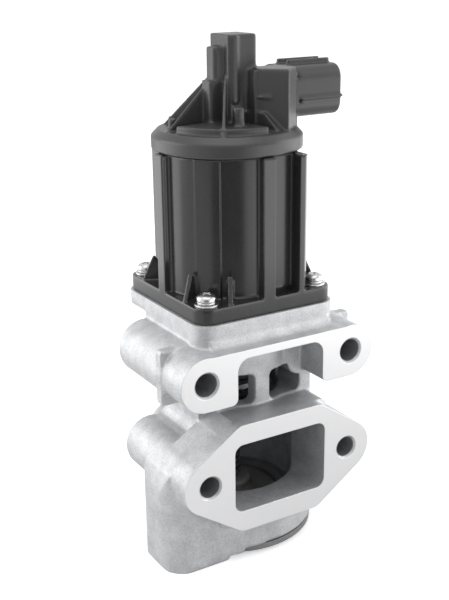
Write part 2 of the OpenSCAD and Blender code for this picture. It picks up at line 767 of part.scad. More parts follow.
module motor_case() {
    seal_groove_r = spring_room_r + 2.9;
    color(case_black) difference() {
        union() {
            translate([0, 0, housing_h]) linear_extrude(plate_t)
                round_rect(2 * plate_half, 2 * plate_half, plate_corner);
            translate([0, 0, housing_h + 1]) cylinder(r = case_r, h = case_top_z - housing_h - 1);
            translate([0, 0, plate_top_z]) rotate_extrude() difference() {
                square([case_r + 0.9, 0.9]);
                translate([case_r + 0.9, 0.9]) circle(0.9);
            }
            case_trim();
            case_panels();
        }
        difference() {
            translate([0, 0, plate_top_z]) cylinder(r = case_bore_r - 1.4, h = case_h + 1);
            tube(bearing_boss_r, 1, plate_top_z - 1, plate_top_z + bearing_w);
        }
        translate([0, 0, plate_top_z]) cylinder(r = bearing_r + snug, h = case_h);
        translate([0, 0, stator_z]) cylinder(r = case_bore_r, h = case_h);
        translate([0, 0, board_z]) cylinder(r = board_r + snug, h = case_h);
        translate([0, 0, housing_h - 1]) cylinder(r = guide_r, h = plate_t + 2);
        tube(seal_groove_r + 1.3, seal_groove_r - 1.3, housing_h - 1, housing_h + 2);
        for (sx = [-1, 1], sy = [-1, 1]) translate([sx * screw_xy, sy * screw_xy, housing_h - 1])
            cylinder(r = screw_r + 1.3, h = plate_t + 2);
    }
}

// Places a fastener at each corner of the plate
module at_corners() {
    for (sx = [-1, 1], sy = [-1, 1]) translate([sx * screw_xy, sy * screw_xy, 0]) children();
}

module screw_sleeves() {
    color(steel_grey) at_corners()
        tube(screw_r + 1.3 - snug, screw_r + 0.25, housing_h, plate_top_z);
}

washer_t = 0.8;
lock_t = 1;
head_z = plate_top_z + washer_t + lock_t;

module flat_washers() {
    color(zinc_grey) at_corners() tube(4.5, screw_r + 0.15, plate_top_z, plate_top_z + washer_t);
}

// Split lock washers
module spring_washers() {
    color(zinc_grey) at_corners() difference() {
        tube(3.55, screw_r + 0.1, plate_top_z + washer_t, head_z);
        translate([3, 0, head_z]) rotate([20, 0, 0]) cube([4, 0.5, 6], center = true);
    }
}

// Pan-head screws with a cross recess
module case_screws() {
    head_r = 3.6;
    head_h = 2.7;
    color(zinc_grey) at_corners() difference() {
        union() {
            translate([0, 0, housing_h - screw_hole_depth + 0.7])
                cylinder(r = screw_r, h = head_z - housing_h + screw_hole_depth - 0.7);
            translate([0, 0, head_z]) rotate_extrude() intersection() {
                union() {
                    square([head_r, head_h - 1.2]);
                    square([head_r - 1.2, head_h]);
                    translate([head_r - 1.2, head_h - 1.2]) circle(1.2);
                }
                square([head_r, head_h]);
            }
        }
        for (turn = [45, 135]) rotate([0, 0, turn])
            translate([0, 0, head_z + head_h]) cube([4.2, 0.9, 2.8], center = true);
    }
}

// Motor inside

// Round bar with two flats
module double_d(r, half) {
    intersection() {
        circle(r);
        square([2 * half, 2 * r + 2], center = true);
    }
}

// Bush with a double-D hole that stops the lead screw from turning
module shaft_guide() {
    color(brass_tone) translate([0, 0, housing_h]) linear_extrude(plate_t - 0.2) difference() {
        circle(guide_r - snug);
        double_d(lead_screw_r + running, flat_half + running);
    }
}

// Lead screw with flats below and its threaded length above
module lead_screw() {
    flats_top_z = plate_top_z + lift + 1.5;
    tip_r = 2.4;
    color(steel_grey) {
        translate([0, 0, screw_tip_z + 2]) linear_extrude(flats_top_z - screw_tip_z - 2)
            double_d(lead_screw_r, flat_half);
        translate([0, 0, screw_tip_z]) cylinder(r = tip_r, h = 2.5);
        translate([0, 0, flats_top_z]) cylinder(r = lead_screw_r, h = screw_top_z - flats_top_z);
    }
}

nut_z = plate_top_z + 11;
nut_h = 22;

module rotor_nut() {
    color(brass_tone) tube(nut_r, nut_bore_r, nut_z, nut_z + nut_h);
}

// Hollow steel core that carries the magnets between both bearings
module rotor_sleeve() {
    low = lower_bearing_z + 0.3;
    high = upper_bearing_z + bearing_w;
    shoulder_low = lower_bearing_z + bearing_w;
    shoulder_high = upper_bearing_z;
    color(steel_grey) rotate_extrude() difference() {
        union() {
            translate([0, low]) square([bearing_bore_r - snug, high - low]);
            translate([0, shoulder_low + 0.1]) square([bearing_bore_r + 0.8, 6]);
            translate([0, shoulder_high - 6]) square([bearing_bore_r + 0.8, 6]);
            translate([0, stator_z - 1]) square([core_r - snug, board_z - stator_z - 1]);
        }
        translate([0, low - 1]) square([lead_screw_r + 0.6, high - low + 2]);
        translate([0, nut_z]) square([sleeve_bore_r, nut_h]);
    }
}

module rotor_magnet() {
    color([0.25, 0.25, 0.27]) tube(magnet_r, core_r, stator_z - 1, stator_top_z + 1);
}

module sense_magnet() {
    color([0.3, 0.28, 0.27]) tube(magnet_r - 0.6, core_r, stator_top_z + 1, stator_top_z + 3);
}

shoe_t = 1.5;
tooth_w = 4.4;
yoke_t = 3;
yoke_in_r = case_bore_r - yoke_t;
coil_t = 1.7;
film = 0.7;
bobbin_in = stator_bore_r + shoe_t + 0.25;
bobbin_out = sqrt(pow(yoke_in_r, 2) - pow(tooth_w / 2 + film + coil_t, 2)) - 0.1;

// Laminated stack: a ring yoke with teeth that end in curved shoes
module stator_core() {
    shoe_angle = 360 / teeth - 10;
    color(steel_grey) translate([0, 0, stator_z]) linear_extrude(stack_h) {
        difference() {
            circle(case_bore_r - snug);
            circle(yoke_in_r);
        }
        for (i = [0:teeth - 1]) rotate(i * 360 / teeth) {
            translate([stator_bore_r + shoe_t / 2, -tooth_w / 2])
                square([yoke_in_r - stator_bore_r, tooth_w]);
            intersection() {
                difference() {
                    circle(stator_bore_r + shoe_t);
                    circle(stator_bore_r);
                }
                sector(stator_bore_r * 2, -shoe_angle / 2, shoe_angle / 2);
            }
        }
    }
}

// Places a winding part round each tooth
module round_teeth() {
    for (i = [0:teeth - 1]) rotate([0, 0, i * 360 / teeth])
        translate([0, 0, stator_z + stack_h / 2]) rotate([90, 0, 90]) children();
}

// Plastic bobbins on the stator teeth
module slot_insulators() {
    flange = 0.8;
    w = tooth_w + 2 * (film + coil_t);
    h = stack_h + 2 * (film + coil_t);
    color([0.85, 0.83, 0.75]) round_teeth() difference() {
        union() {
            for (r = [bobbin_in, bobbin_out - flange])
                translate([0, 0, r]) linear_extrude(flange) round_rect(w, h, 1);
            translate([0, 0, bobbin_in]) linear_extrude(bobbin_out - bobbin_in)
                square([tooth_w + 2 * film, stack_h + 2 * film], center = true);
        }
        translate([0, 0, bobbin_in - 1]) linear_extrude(bobbin_out - bobbin_in + 2)
            square([tooth_w + 2 * snug, stack_h + 2 * snug], center = true);
    }
}

module stator_coils() {
    flange = 0.8;
    w = tooth_w + 2 * (film + coil_t) - 0.3;
    h = stack_h + 2 * (film + coil_t) - 0.3;
    color([0.72, 0.4, 0.2]) round_teeth() translate([0, 0, bobbin_in + flange])
        linear_extrude(bobbin_out - bobbin_in - 2 * flange) difference() {
            round_rect(w, h, 1.4);
            square([tooth_w + 2 * film, stack_h + 2 * film], center = true);
        }
}

// Race of a ball bearing with its groove, between two radii
module race(r_in, r_out, z) {
    color(steel_grey) translate([0, 0, z]) rotate_extrude() difference() {
        translate([r_in, 0]) square([r_out - r_in, bearing_w]);
        translate([ball_path_r, bearing_w / 2]) circle(ball_r + running);
    }
}

module outer_race(z) {
    race(bearing_r - race_t, bearing_r, z);
}

module inner_race(z) {
    race(bearing_bore_r, bearing_bore_r + race_t, z);
}

// Balls of one bearing, half a gap clear of their races
module ball_ring(z) {
    color(zinc_grey) for (i = [0:balls - 1]) rotate([0, 0, i * 360 / balls])
        translate([ball_path_r, 0, z + bearing_w / 2]) sphere(ball_r);
}

// Crown cage that keeps the balls apart
module ball_cage(z) {
    half = bearing_r - race_t - ball_path_r - 0.25;
    color(brass_tone) difference() {
        tube(ball_path_r + half, ball_path_r - half, z + bearing_w / 2 - 0.6,
            z + bearing_w - 0.2);
        for (i = [0:balls - 1]) rotate([0, 0, i * 360 / balls])
            translate([ball_path_r, 0, z + bearing_w / 2]) sphere(ball_r + running);
    }
}

module lower_outer_race() {
    outer_race(lower_bearing_z);
}

module lower_inner_race() {
    inner_race(lower_bearing_z);
}

module lower_ball_cage() {
    ball_cage(lower_bearing_z);
}

module lower_balls() {
    ball_ring(lower_bearing_z);
}

module upper_outer_race() {
    outer_race(upper_bearing_z);
}

module upper_inner_race() {
    inner_race(upper_bearing_z);
}

module upper_ball_cage() {
    ball_cage(upper_bearing_z);
}

module upper_balls() {
    ball_ring(upper_bearing_z);
}

wave_t = 0.5;
wave_rise = 0.6;

// Sprung washer that keeps the bearings loaded
module wave_washer() {
    color(zinc_grey) translate([0, 0, upper_bearing_z + bearing_w]) {
        tube(bearing_r - 0.4, bearing_r - race_t - 0.6, 0, wave_t);
        for (a = [0, 120, 240]) translate([0, 0, wave_t - eps]) linear_extrude(wave_rise)
            intersection() {
                difference() {
                    circle(bearing_r - 0.4);
                    circle(bearing_r - race_t - 0.6);
                }
                sector(bearing_r * 2, a, a + 30);
            }
    }
}

// Ring-shaped board with holes for the terminal pins
module circuit_board() {
    color([0.1, 0.35, 0.2]) translate([0, 0, board_z]) linear_extrude(board_t) difference() {
        circle(board_r);
        circle(bearing_bore_r + 2.2);
        for (p = pin_feet()) translate([p[0], p[1]]) square(pin_w + 0.2, center = true);
    }
}

hall_r = magnet_r - 1.8;

// Three switches under the board that read the sense magnet
module hall_switches() {
    color([0.1, 0.1, 0.1]) for (a = [60, 180, 300]) rotate([0, 0, a])
        translate([hall_r, 0, board_z - 0.55]) cube([3, 4, 1.1], center = true);
}

// Terminal pins: each rises from the board and bends into the socket
pin_w = 0.8;
pin_row_z = [socket_z - 3.2, socket_z + 3.2];
pin_row_x = [20, 16.5];
pin_end_x = socket_reach - 4;

// Places of the pins' feet on the board
function pin_feet() = [for (row = [0, 1], i = [0:pins_per_row - 1])
    [pin_row_x[row], (i - (pins_per_row - 1) / 2) * pin_pitch, pin_row_z[row]]];

// One row of pins, made thicker by grow where it is used to cut its own slots
module pin_shapes(grow) {
    w = pin_w + 2 * grow;
    for (p = pin_feet()) translate([0, p[1], 0]) {
        translate([p[0] - w / 2, -w / 2, board_z]) cube([w, w, p[2] - board_z + w / 2]);
        translate([p[0] - w / 2, -w / 2, p[2] - w / 2]) cube([pin_end_x - p[0] + w / 2, w, w]);
    }
}

module terminal_pins() {
    color(zinc_grey) pin_shapes(0);
}

// Cover with the sensor tower, the wiring chimney and the socket

// Rib that slopes from near the tower down to the cover's ring
module rib(angle, r_in, z_in, r_out, t) {
    rotate([0, 0, angle]) translate([0, t / 2, 0]) rotate([90, 0, 0]) linear_extrude(t)
        polygon([[0, bevel_z - 1], [r_out, bevel_z - 1], [r_out, bevel_z + 0.2],
            [r_in, z_in], [0, z_in]]);
}

// Round lid: ring, bevel and raised centre
module cover_lid() {
    rotate_extrude() polygon([[0, case_top_z], [ring_r, case_top_z], [ring_r, ring_top_z],
        [bevel_r, bevel_z], [0, bevel_z]]);
    difference() {
        translate([0, 0, bevel_z - eps]) cylinder(r = plateau_r, h = plateau_h);
        for (a = [[-83, -62], [126, 190]]) translate([0, 0, bevel_z])
            linear_extrude(plateau_h + 1) sector(case_r * 1.5, a[0], a[1]);
    }
    tube(board_r, board_r - 2, case_top_z - 2.4, case_top_z + eps);
    difference() {
        tube(board_r - 0.5, board_r - 2, case_top_z - 5, case_top_z);
        translate([0, 0, case_top_z - 5]) cylinder(r = 1, h = 1);
    }
}

// Tall tower over the sensor with its rounded front column
module sensor_tower() {
    column_r = 2.7;
    set_back = 0.7;
    column_z = plateau_z + 8;
    edge = 1;
    translate([0, 0, bevel_z - 1]) {
        linear_extrude(tower_h + 1) {
            translate([tower_x, tower_y + set_back / 2])
                round_rect(tower_w, tower_d - set_back, edge);
            translate([tower_x0, tower_y0 + column_r]) square([2 * column_r, column_r]);
        }
    }
    translate([tower_x0 + column_r, tower_y0 + column_r, column_z])
        cylinder(r = column_r, h = tower_top_z - column_z);
    translate([tower_x0 + column_r, tower_y0 + column_r, column_z]) sphere(column_r);
}

// Lower flat-sided column and foot against the tower's left side
module side_columns() {
    column_top_z = tower_top_z - 4.3;
    foot_top_z = tower_top_z - 16.2;
    column_x = 3.8;
    foot_x = 5.7;
    translate([0, 0, bevel_z]) {
        linear_extrude(column_top_z - bevel_z)
            polygon([[tower_x0 + 1, -5.2], [tower_x0 - column_x + 1, -5.2],
                [tower_x0 - column_x, -4.2], [tower_x0 - column_x, 0.8],
                [tower_x0 + 1, 0.8]]);
        linear_extrude(foot_top_z - bevel_z) {
            translate([tower_x0 - foot_x, -3.9]) square([foot_x + 1, 4.7]);
            translate([tower_x0 - foot_x + 1.5, -5.4]) square([foot_x, 3]);
            translate([tower_x0 - foot_x + 1.5, -3.9]) circle(1.5);
        }
    }
}

// Angled wiring chimney beside the tower
module chimney() {
    front = [12.4, -22.6];
    right = [21.2, -15];
    left = [4.6, -14.4];
    translate([0, 0, bevel_z - 1]) linear_extrude(chimney_h + 1) {
        polygon([left, front, right, [19, -6], [6, -6]]);
    }
    translate([tower_x0 + tower_w - 4.4, -14, bevel_z - 1])
        cube([3.2, 8, chimney_h + 0.4]);
    translate([left[0] - 0.6, left[1] - 0.5, bevel_z + chimney_h - 10.4])
        rotate([0, 0, -46.4]) cube([5, 1, 0.5]);
}

// Blind peg on the cover beside the tower and a short one behind it
module peg() {
    peg_x = -5.2;
    peg_y = -16.7;
    translate([peg_x, peg_y, bevel_z]) {
        cylinder(r = 2.2, h = plateau_h + 6.8);
        translate([0, 0, plateau_h]) cylinder(r1 = 2.9, r2 = 2.2, h = 1);
    }
    translate([-19.5, 6.5, bevel_z - 1]) cylinder(r = 1.7, h = plateau_h + 2.2);
}

// Wiring socket along X with two latch rails, its root and a slim side rib
module socket_shell() {
    root_x = 9;
    rail_h = 1.9;
    rail_t = 1.5;
    rail_x0 = socket_reach - 20.5;
    top_z = socket_z + socket_h / 2;
    translate([22, 0, socket_z]) rotate([90, 0, 90]) linear_extrude(socket_reach - 22)
        round_rect(socket_w, socket_h, socket_corner);
    translate([root_x, -socket_w / 2 + 1, bevel_z - 1])
        cube([26 - root_x, socket_w - 2, socket_z - bevel_z]);
    translate([root_x, -socket_w / 2 + 1, socket_z - 2])
        cube([24 - root_x, socket_w - 2, socket_h / 2 + 1]);
    for (y = [-3, 3.5]) translate([rail_x0, y - rail_t / 2, top_z - 1])
        cube([19.2, rail_t, rail_h + 1]);
    translate([rail_x0 + 13, -2.5, top_z - 1]) rotate([90, 0, 90])
        linear_extrude(2.6) square([5.4, 2.1]);
    for (s = [-1, 1])
        translate([socket_reach - 19, s * (socket_w / 2) - 0.6, socket_z - 2.7])
            cube([19.9, 1.2, 0.8]);
}

// Slots, bores and hollows in the cover
module cover_cuts() {
    translate([0, 0, case_top_z - 6]) difference() {
        cylinder(r = board_r - 2, h = cover_floor_z - case_top_z + 3);
        cylinder(r = bearing_boss_r, h = cover_floor_z);
    }
    translate([0, 0, upper_bearing_z - 1]) cylinder(r = bearing_r + snug, h = bearing_w + 1);
    translate([0, 0, upper_bearing_z]) cylinder(r = bearing_r - 0.2, h = bearing_w + wave_t + wave_rise);
    translate([0, 0, upper_bearing_z]) cylinder(r = bearing_bore_r + 1, h = bearing_w + 2.4);
    translate([0, 0, upper_bearing_z]) cylinder(r = rod_r + running, h = rod_bore_top_z - upper_bearing_z);
    translate([socket_reach - socket_depth, 0, socket_z]) rotate([90, 0, 90])
        linear_extrude(socket_depth + 1)
            round_rect(socket_w - 2 * socket_wall, socket_h - 2 * socket_wall,
                socket_corner - socket_wall);
    pin_shapes(snug);
    translate([socket_reach - 20.3, -socket_w / 2 - 1, socket_z + 4.9]) cube([1, 2, 3]);
    translate([socket_reach - 19.8, -socket_w / 2 - 1, socket_z - 3.9]) cube([1.6, 2, 1.4]);
    sensor_shape(snug);
    tube(board_r + 1, board_r - 1, case_top_z - 2.2, case_top_z - 0.6);
}

module connector_cover() {
    color(case_black) difference() {
        union() {
            cover_lid();
            translate([0, 0, upper_bearing_z - 0.5])
                cylinder(r = bearing_boss_r, h = bevel_z - upper_bearing_z);
            sensor_tower();
            side_columns();
            chimney();
            peg();
            socket_shell();
            rib(-124, 6, tower_top_z - 12.5, bevel_r, 1.1);
            rib(180, 8, tower_top_z - 16.7, 25.3, 1.1);
            rib(132, 6, tower_top_z - 14.4, 25, 1.1);
            rib(-67, 18.1, bevel_z + 6.4, 24, 3.4);
        }
        cover_cuts();
    }
}

// Sealing ring between the cover and the motor case
module cover_seal() {
    color(rubber_black) translate([0, 0, case_top_z - 1.4]) rotate_extrude()
        translate([board_r - 0.35, 0]) square([0.7, 1.5], center = true);
}

// Position sensor in the tower

module sensor_rod() {
    color([0.8, 0.8, 0.75]) translate([0, 0, rod_z]) cylinder(r = rod_r, h = rod_top_z - rod_z);
}

module sensor_magnet() {
    color([0.3, 0.28, 0.27]) translate([0, 0, rod_top_z]) cylinder(r = rod_r, h = sensor_magnet_h);
}

module sensor_spring() {
    wire_r = 0.2;
    color(zinc_grey) coil_spring(rod_r - running - wire_r - 0.15, wire_r,
        rod_top_z + sensor_magnet_h, rod_bore_top_z, 8, 16, 6);
}

// Sensor chip and its leads, made thicker by grow where it cuts its own pocket
module sensor_shape(grow) {
    lead_w = 0.5 + 2 * grow;
    lead_z = bevel_z - 0.8 - grow;
    translate([0, chip_y, chip_z + 2.5])
        cube([4.2 + 2 * grow, 1.6 + 2 * grow, 5 + 2 * grow], center = true);
    for (x = [-1.3, 0, 1.3]) translate([x - lead_w / 2, 0, 0]) {
        translate([0, chip_y - lead_w / 2, lead_z]) cube([lead_w, lead_w, chip_z - lead_z + 0.5]);
        translate([0, lead_y, lead_z]) cube([lead_w, chip_y - lead_y, lead_w]);
        translate([0, lead_y - lead_w / 2, board_z + board_t])
            cube([lead_w, lead_w, lead_z - board_z - board_t + lead_w]);
    }
}

module position_sensor() {
    color([0.1, 0.1, 0.1]) sensor_shape(0);
}

valve_housing();
valve_seat();
poppet();
valve_stem();
stem_scraper();
stem_bush();
stem_seal();
spring_seat();
return_spring();
spring_retainer();
retainer_clip();
case_seal();
motor_case();
screw_sleeves();
flat_washers();
spring_washers();
case_screws();
shaft_guide();
lead_screw();
rotor_nut();
rotor_sleeve();
rotor_magnet();
sense_magnet();
stator_core();
slot_insulators();
stator_coils();
lower_outer_race();
lower_inner_race();
lower_ball_cage();
lower_balls();
upper_outer_race();
upper_inner_race();
upper_ball_cage();
upper_balls();
wave_washer();
circuit_board();
hall_switches();
terminal_pins();
connector_cover();
cover_seal();
sensor_rod();
sensor_magnet();
sensor_spring();
position_sensor();
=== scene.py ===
import json
import logging
import math
from dataclasses import dataclass, field
from enum import Enum

import bmesh
import bpy
import numpy as np
from mathutils import Matrix, Vector


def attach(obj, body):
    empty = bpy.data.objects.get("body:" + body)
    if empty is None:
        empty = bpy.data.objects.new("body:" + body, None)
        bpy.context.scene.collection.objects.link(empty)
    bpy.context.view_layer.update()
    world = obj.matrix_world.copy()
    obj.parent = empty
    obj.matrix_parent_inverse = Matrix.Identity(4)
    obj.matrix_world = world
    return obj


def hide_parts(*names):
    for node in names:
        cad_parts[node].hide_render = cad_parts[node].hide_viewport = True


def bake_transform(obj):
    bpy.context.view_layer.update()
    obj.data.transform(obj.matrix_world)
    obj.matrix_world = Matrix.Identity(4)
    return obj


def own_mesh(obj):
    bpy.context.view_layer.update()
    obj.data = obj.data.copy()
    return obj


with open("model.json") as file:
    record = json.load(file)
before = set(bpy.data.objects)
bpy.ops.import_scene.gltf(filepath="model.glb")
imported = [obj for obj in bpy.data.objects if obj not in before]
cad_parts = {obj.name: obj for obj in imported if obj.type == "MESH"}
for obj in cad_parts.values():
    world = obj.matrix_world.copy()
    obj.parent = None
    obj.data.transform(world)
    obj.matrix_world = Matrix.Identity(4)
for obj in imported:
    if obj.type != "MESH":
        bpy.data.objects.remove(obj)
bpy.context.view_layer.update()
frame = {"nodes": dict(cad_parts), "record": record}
LOG = logging.getLogger("egr_valve")
MM = 0.001
JOIN = 2e-6  # metres within which loose corners of a CAD mesh are one
WAVE = 20.0  # radians in one unit of a wave texture
FACE_Y = -37.4  # plane of both port faces in mm


def linear(colour: str) -> tuple[float, float, float, float]:
    """Turns an sRGB hex colour into linear RGBA.

    Args:
        colour: Colour such as "#c8c8c4".

    Returns:
        Red, green, blue and alpha for a shader socket.
    """
    parts = [int(colour[i:i + 2], 16) / 255 for i in (1, 3, 5)]
    return (*(c / 12.92 if c <= 0.04045 else ((c + 0.055) / 1.055) ** 2.4 for c in parts), 1.0)


def add(tree: bpy.types.NodeTree, kind: str, links: dict | None = None, **settings) -> bpy.types.Node:
    """Adds a node, sets it up and wires its inputs.

    Args:
        tree: Node tree of a material or the world.
        kind: Node type without its "ShaderNode" prefix.
        links: Input name or number to a value, or to an output socket that feeds it.
        settings: Properties of the node itself.

    Returns:
        The new node.
    """
    item = tree.nodes.new("ShaderNode" + kind)
    for name, value in settings.items():
        setattr(item, name, value)
    for key, value in (links or {}).items():
        if isinstance(value, bpy.types.NodeSocket):
            tree.links.new(value, item.inputs[key])
        else:
            item.inputs[key].default_value = value
    return item


def new_material(name: str) -> tuple[bpy.types.Material, bpy.types.NodeTree]:
    """Makes a material whose node tree is still empty.

    Args:
        name: Name of the material.

    Returns:
        The material and its tree.
    """
    material = bpy.data.materials.new(name)
    material.use_nodes = True
    material.node_tree.nodes.clear()
    return material, material.node_tree


def mesh_object(name: str, points: np.ndarray, faces: list | np.ndarray, smooth: bool = True) -> bpy.types.Object:
    """Makes an object at the origin from points in metres.

    Args:
        name: Name of the object.
        points: Array of n points.
        faces: Corner numbers of each face, facing outwards.
        smooth: Shades the faces as one curved surface.

    Returns:
        The linked object.
    """
    mesh = bpy.data.meshes.new(name)
    mesh.from_pydata(np.asarray(points).tolist(), [], faces.tolist() if isinstance(faces, np.ndarray) else faces)
    mesh.polygons.foreach_set("use_smooth", np.full(len(mesh.polygons), smooth))
    mesh.update()
    item = bpy.data.objects.new(name, mesh)
    bpy.context.scene.collection.objects.link(item)
    return item


def grid_faces(rows: int, columns: int, closed_rows: bool = False) -> np.ndarray:
    """Quads of a grid whose columns run round a closed loop.

    Args:
        rows: Number of rings.
        columns: Points in each ring.
        closed_rows: Joins the last ring to the first.

    Returns:
        Array of quads, with outward faces where rings run anticlockwise seen from the last one.
    """
    i, j = np.meshgrid(np.arange(rows if closed_rows else rows - 1), np.arange(columns), indexing="ij")
    near, far = i * columns, (i + 1) % rows * columns
    step = (j + 1) % columns
    return np.stack([near + j, near + step, far + step, far + j], -1).reshape(-1, 4)


def lathe(profile: list[tuple[float, float]], sides: int = 96) -> tuple[np.ndarray, list]:
    """Turns a closed profile about Z: each point (r, z) becomes a ring (r cos a, r sin a, z).

    Args:
        profile: Points (r, z) in mm from the lower pole to the upper one, first and last on the axis.
        sides: Points in each ring.

    Returns:
        Points in metres and faces, closed at both poles.
    """
    rz = np.array(profile[1:-1]) * MM
    angle = np.linspace(0, 2 * np.pi, sides, endpoint=False)
    rings = np.stack([rz[:, :1] * np.cos(angle), rz[:, :1] * np.sin(angle),
                      np.repeat(rz[:, 1:], sides, axis=1)], -1).reshape(-1, 3)
    count = len(rings)
    poles = np.array([[0, 0, profile[0][1]], [0, 0, profile[-1][1]]]) * MM
    ring = np.arange(sides)
    low = np.stack([np.full(sides, count), (ring + 1) % sides, ring], -1)
    last = count - sides
    high = np.stack([np.full(sides, count + 1), last + ring, last + (ring + 1) % sides], -1)
    faces = grid_faces(len(rz), sides).tolist() + low.tolist() + high.tolist()
    return np.vstack([rings, poles]), faces


def prism(name: str, outline: list[tuple[float, float]], y0: float, y1: float) -> bpy.types.Object:
    """Carries an outline in the XZ plane along Y: two rows of points (x, y0, z) and (x, y1, z).

    Args:
        name: Name of the object.
        outline: Points (x, z) in mm, anticlockwise seen from the front.
        y0: Front end in mm.
        y1: Back end in mm.

    Returns:
        The closed prism.
    """
    xz = np.array(outline) * MM
    count = len(xz)
    points = np.vstack([np.c_[xz[:, 0], np.full(count, y * MM), xz[:, 1]] for y in (y0, y1)])
    k = np.arange(count)
    n = (k + 1) % count
    sides = np.stack([k, k + count, n + count, n], -1).tolist()
    return mesh_object(name, points, sides + [k.tolist(), (k[::-1] + count).tolist()], smooth=False)


def bake(item: bpy.types.Object) -> None:
    """Puts what the modifiers make of an object into its mesh and removes them.

    Args:
        item: Object with live modifiers.
    """
    graph = bpy.context.evaluated_depsgraph_get()
    graph.update()
    mesh = bpy.data.meshes.new_from_object(item.evaluated_get(graph), depsgraph=graph)
    item.modifiers.clear()
    item.data = mesh


def cut(item: bpy.types.Object, tool: bpy.types.Object, operation: str = "DIFFERENCE") -> None:
    """Cuts one closed mesh with another, and removes the tool.

    Args:
        item: Object that is cut.
        tool: Closed mesh that cuts.
        operation: DIFFERENCE, INTERSECT or UNION.
    """
    item.modifiers.new("cut", "BOOLEAN")
    item.modifiers["cut"].operation = operation
    item.modifiers["cut"].solver = "MANIFOLD"
    item.modifiers["cut"].object = tool
    bake(item)
    bpy.data.objects.remove(tool)


def merged_copy(node: str, name: str) -> bpy.types.Object:
    """Copies a CAD node and joins its loose triangles.

    Args:
        node: Name of the CAD node.
        name: Name of the copy.

    Returns:
        The copy, at the origin.
    """
    mesh = frame["nodes"][node].data.copy()
    work = bmesh.new()
    work.from_mesh(mesh)
    bmesh.ops.remove_doubles(work, verts=work.verts, dist=JOIN)
    work.to_mesh(mesh)
    work.free()
    mesh.materials.clear()
    item = bpy.data.objects.new(name, mesh)
    bpy.context.scene.collection.objects.link(item)
    return item


def finish_mesh(item: bpy.types.Object, material: bpy.types.Material, angle: float = 38.0) -> None:
    """Shades a mesh smooth between its sharp edges and gives it its material.

    Args:
        item: Object to dress.
        material: Its finish.
        angle: Smallest angle in degrees between two faces that meet in a sharp edge.
    """
    item.data.polygons.foreach_set("use_smooth", np.ones(len(item.data.polygons), bool))
    item.data.set_sharp_from_angle(angle=math.radians(angle))
    item.data.materials.clear()
    item.data.materials.append(material)


Box = tuple[tuple[float, float], tuple[float, float], tuple[float, float]]


def soften(item: bpy.types.Object, voxel: float, rounds: int, triangles: int = 150000,
           rounder: tuple[Box, ...] = (), extra: int = 0) -> None:
    """Rounds every edge of a closed mesh, as a mould does.

    The mesh is rebuilt on a grid, each point is moved towards its neighbours' middle a few times,
    and flat places are thinned again.

    Args:
        item: Object to change.
        voxel: Grid step in mm.
        rounds: Number of smoothing rounds.
        triangles: Number of triangles that is left.
        rounder: Boxes in mm, each as (low, high) for X, Y and Z, in which edges are rounded further.
        extra: Number of further rounds there.
    """
    remesh = item.modifiers.new("remesh", "REMESH")
    remesh.mode = "VOXEL"
    remesh.voxel_size = voxel * MM
    relax = item.modifiers.new("relax", "SMOOTH")
    relax.factor = 0.5
    relax.iterations = rounds
    bake(item)
    if rounder:
        points = np.empty(len(item.data.vertices) * 3, np.float32)
        item.data.vertices.foreach_get("co", points)
        points = points.reshape(-1, 1, 3)
        limits = np.array(rounder) * MM
        inside = ((points > limits[None, :, :, 0]) & (points < limits[None, :, :, 1])).all(2).any(1)
        item.vertex_groups.new(name="rounder").add(np.flatnonzero(inside).tolist(), 1.0, "REPLACE")
        relax = item.modifiers.new("relax", "SMOOTH")
        relax.factor = 0.5
        relax.iterations = extra
        relax.vertex_group = "rounder"
        bake(item)
    thin = item.modifiers.new("thin", "DECIMATE")
    thin.ratio = min(1.0, triangles / (2 * len(item.data.polygons)))
    bake(item)


def place(item: bpy.types.Object, slot: str, *nodes: str, body: str = "housing") -> None:
    """Puts a finished piece on its body in place of CAD nodes.

    Args:
        item: The piece.
        slot: Material slot of the record; not used.
        nodes: CAD nodes that it stands for.
        body: CAD body that carries it.
    """
    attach(item, body)
    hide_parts(*nodes)
    LOG.info("%s: %d faces", item.name, len(item.data.polygons))


class Pattern(Enum):
    """What breaks up the surface of a finish."""
    GRAIN = "fine grain"
    TURNED = "rings left by turning about the valve axis"
    LAYERS = "level layers or windings"
    SPECKLE = "pores or flakes"


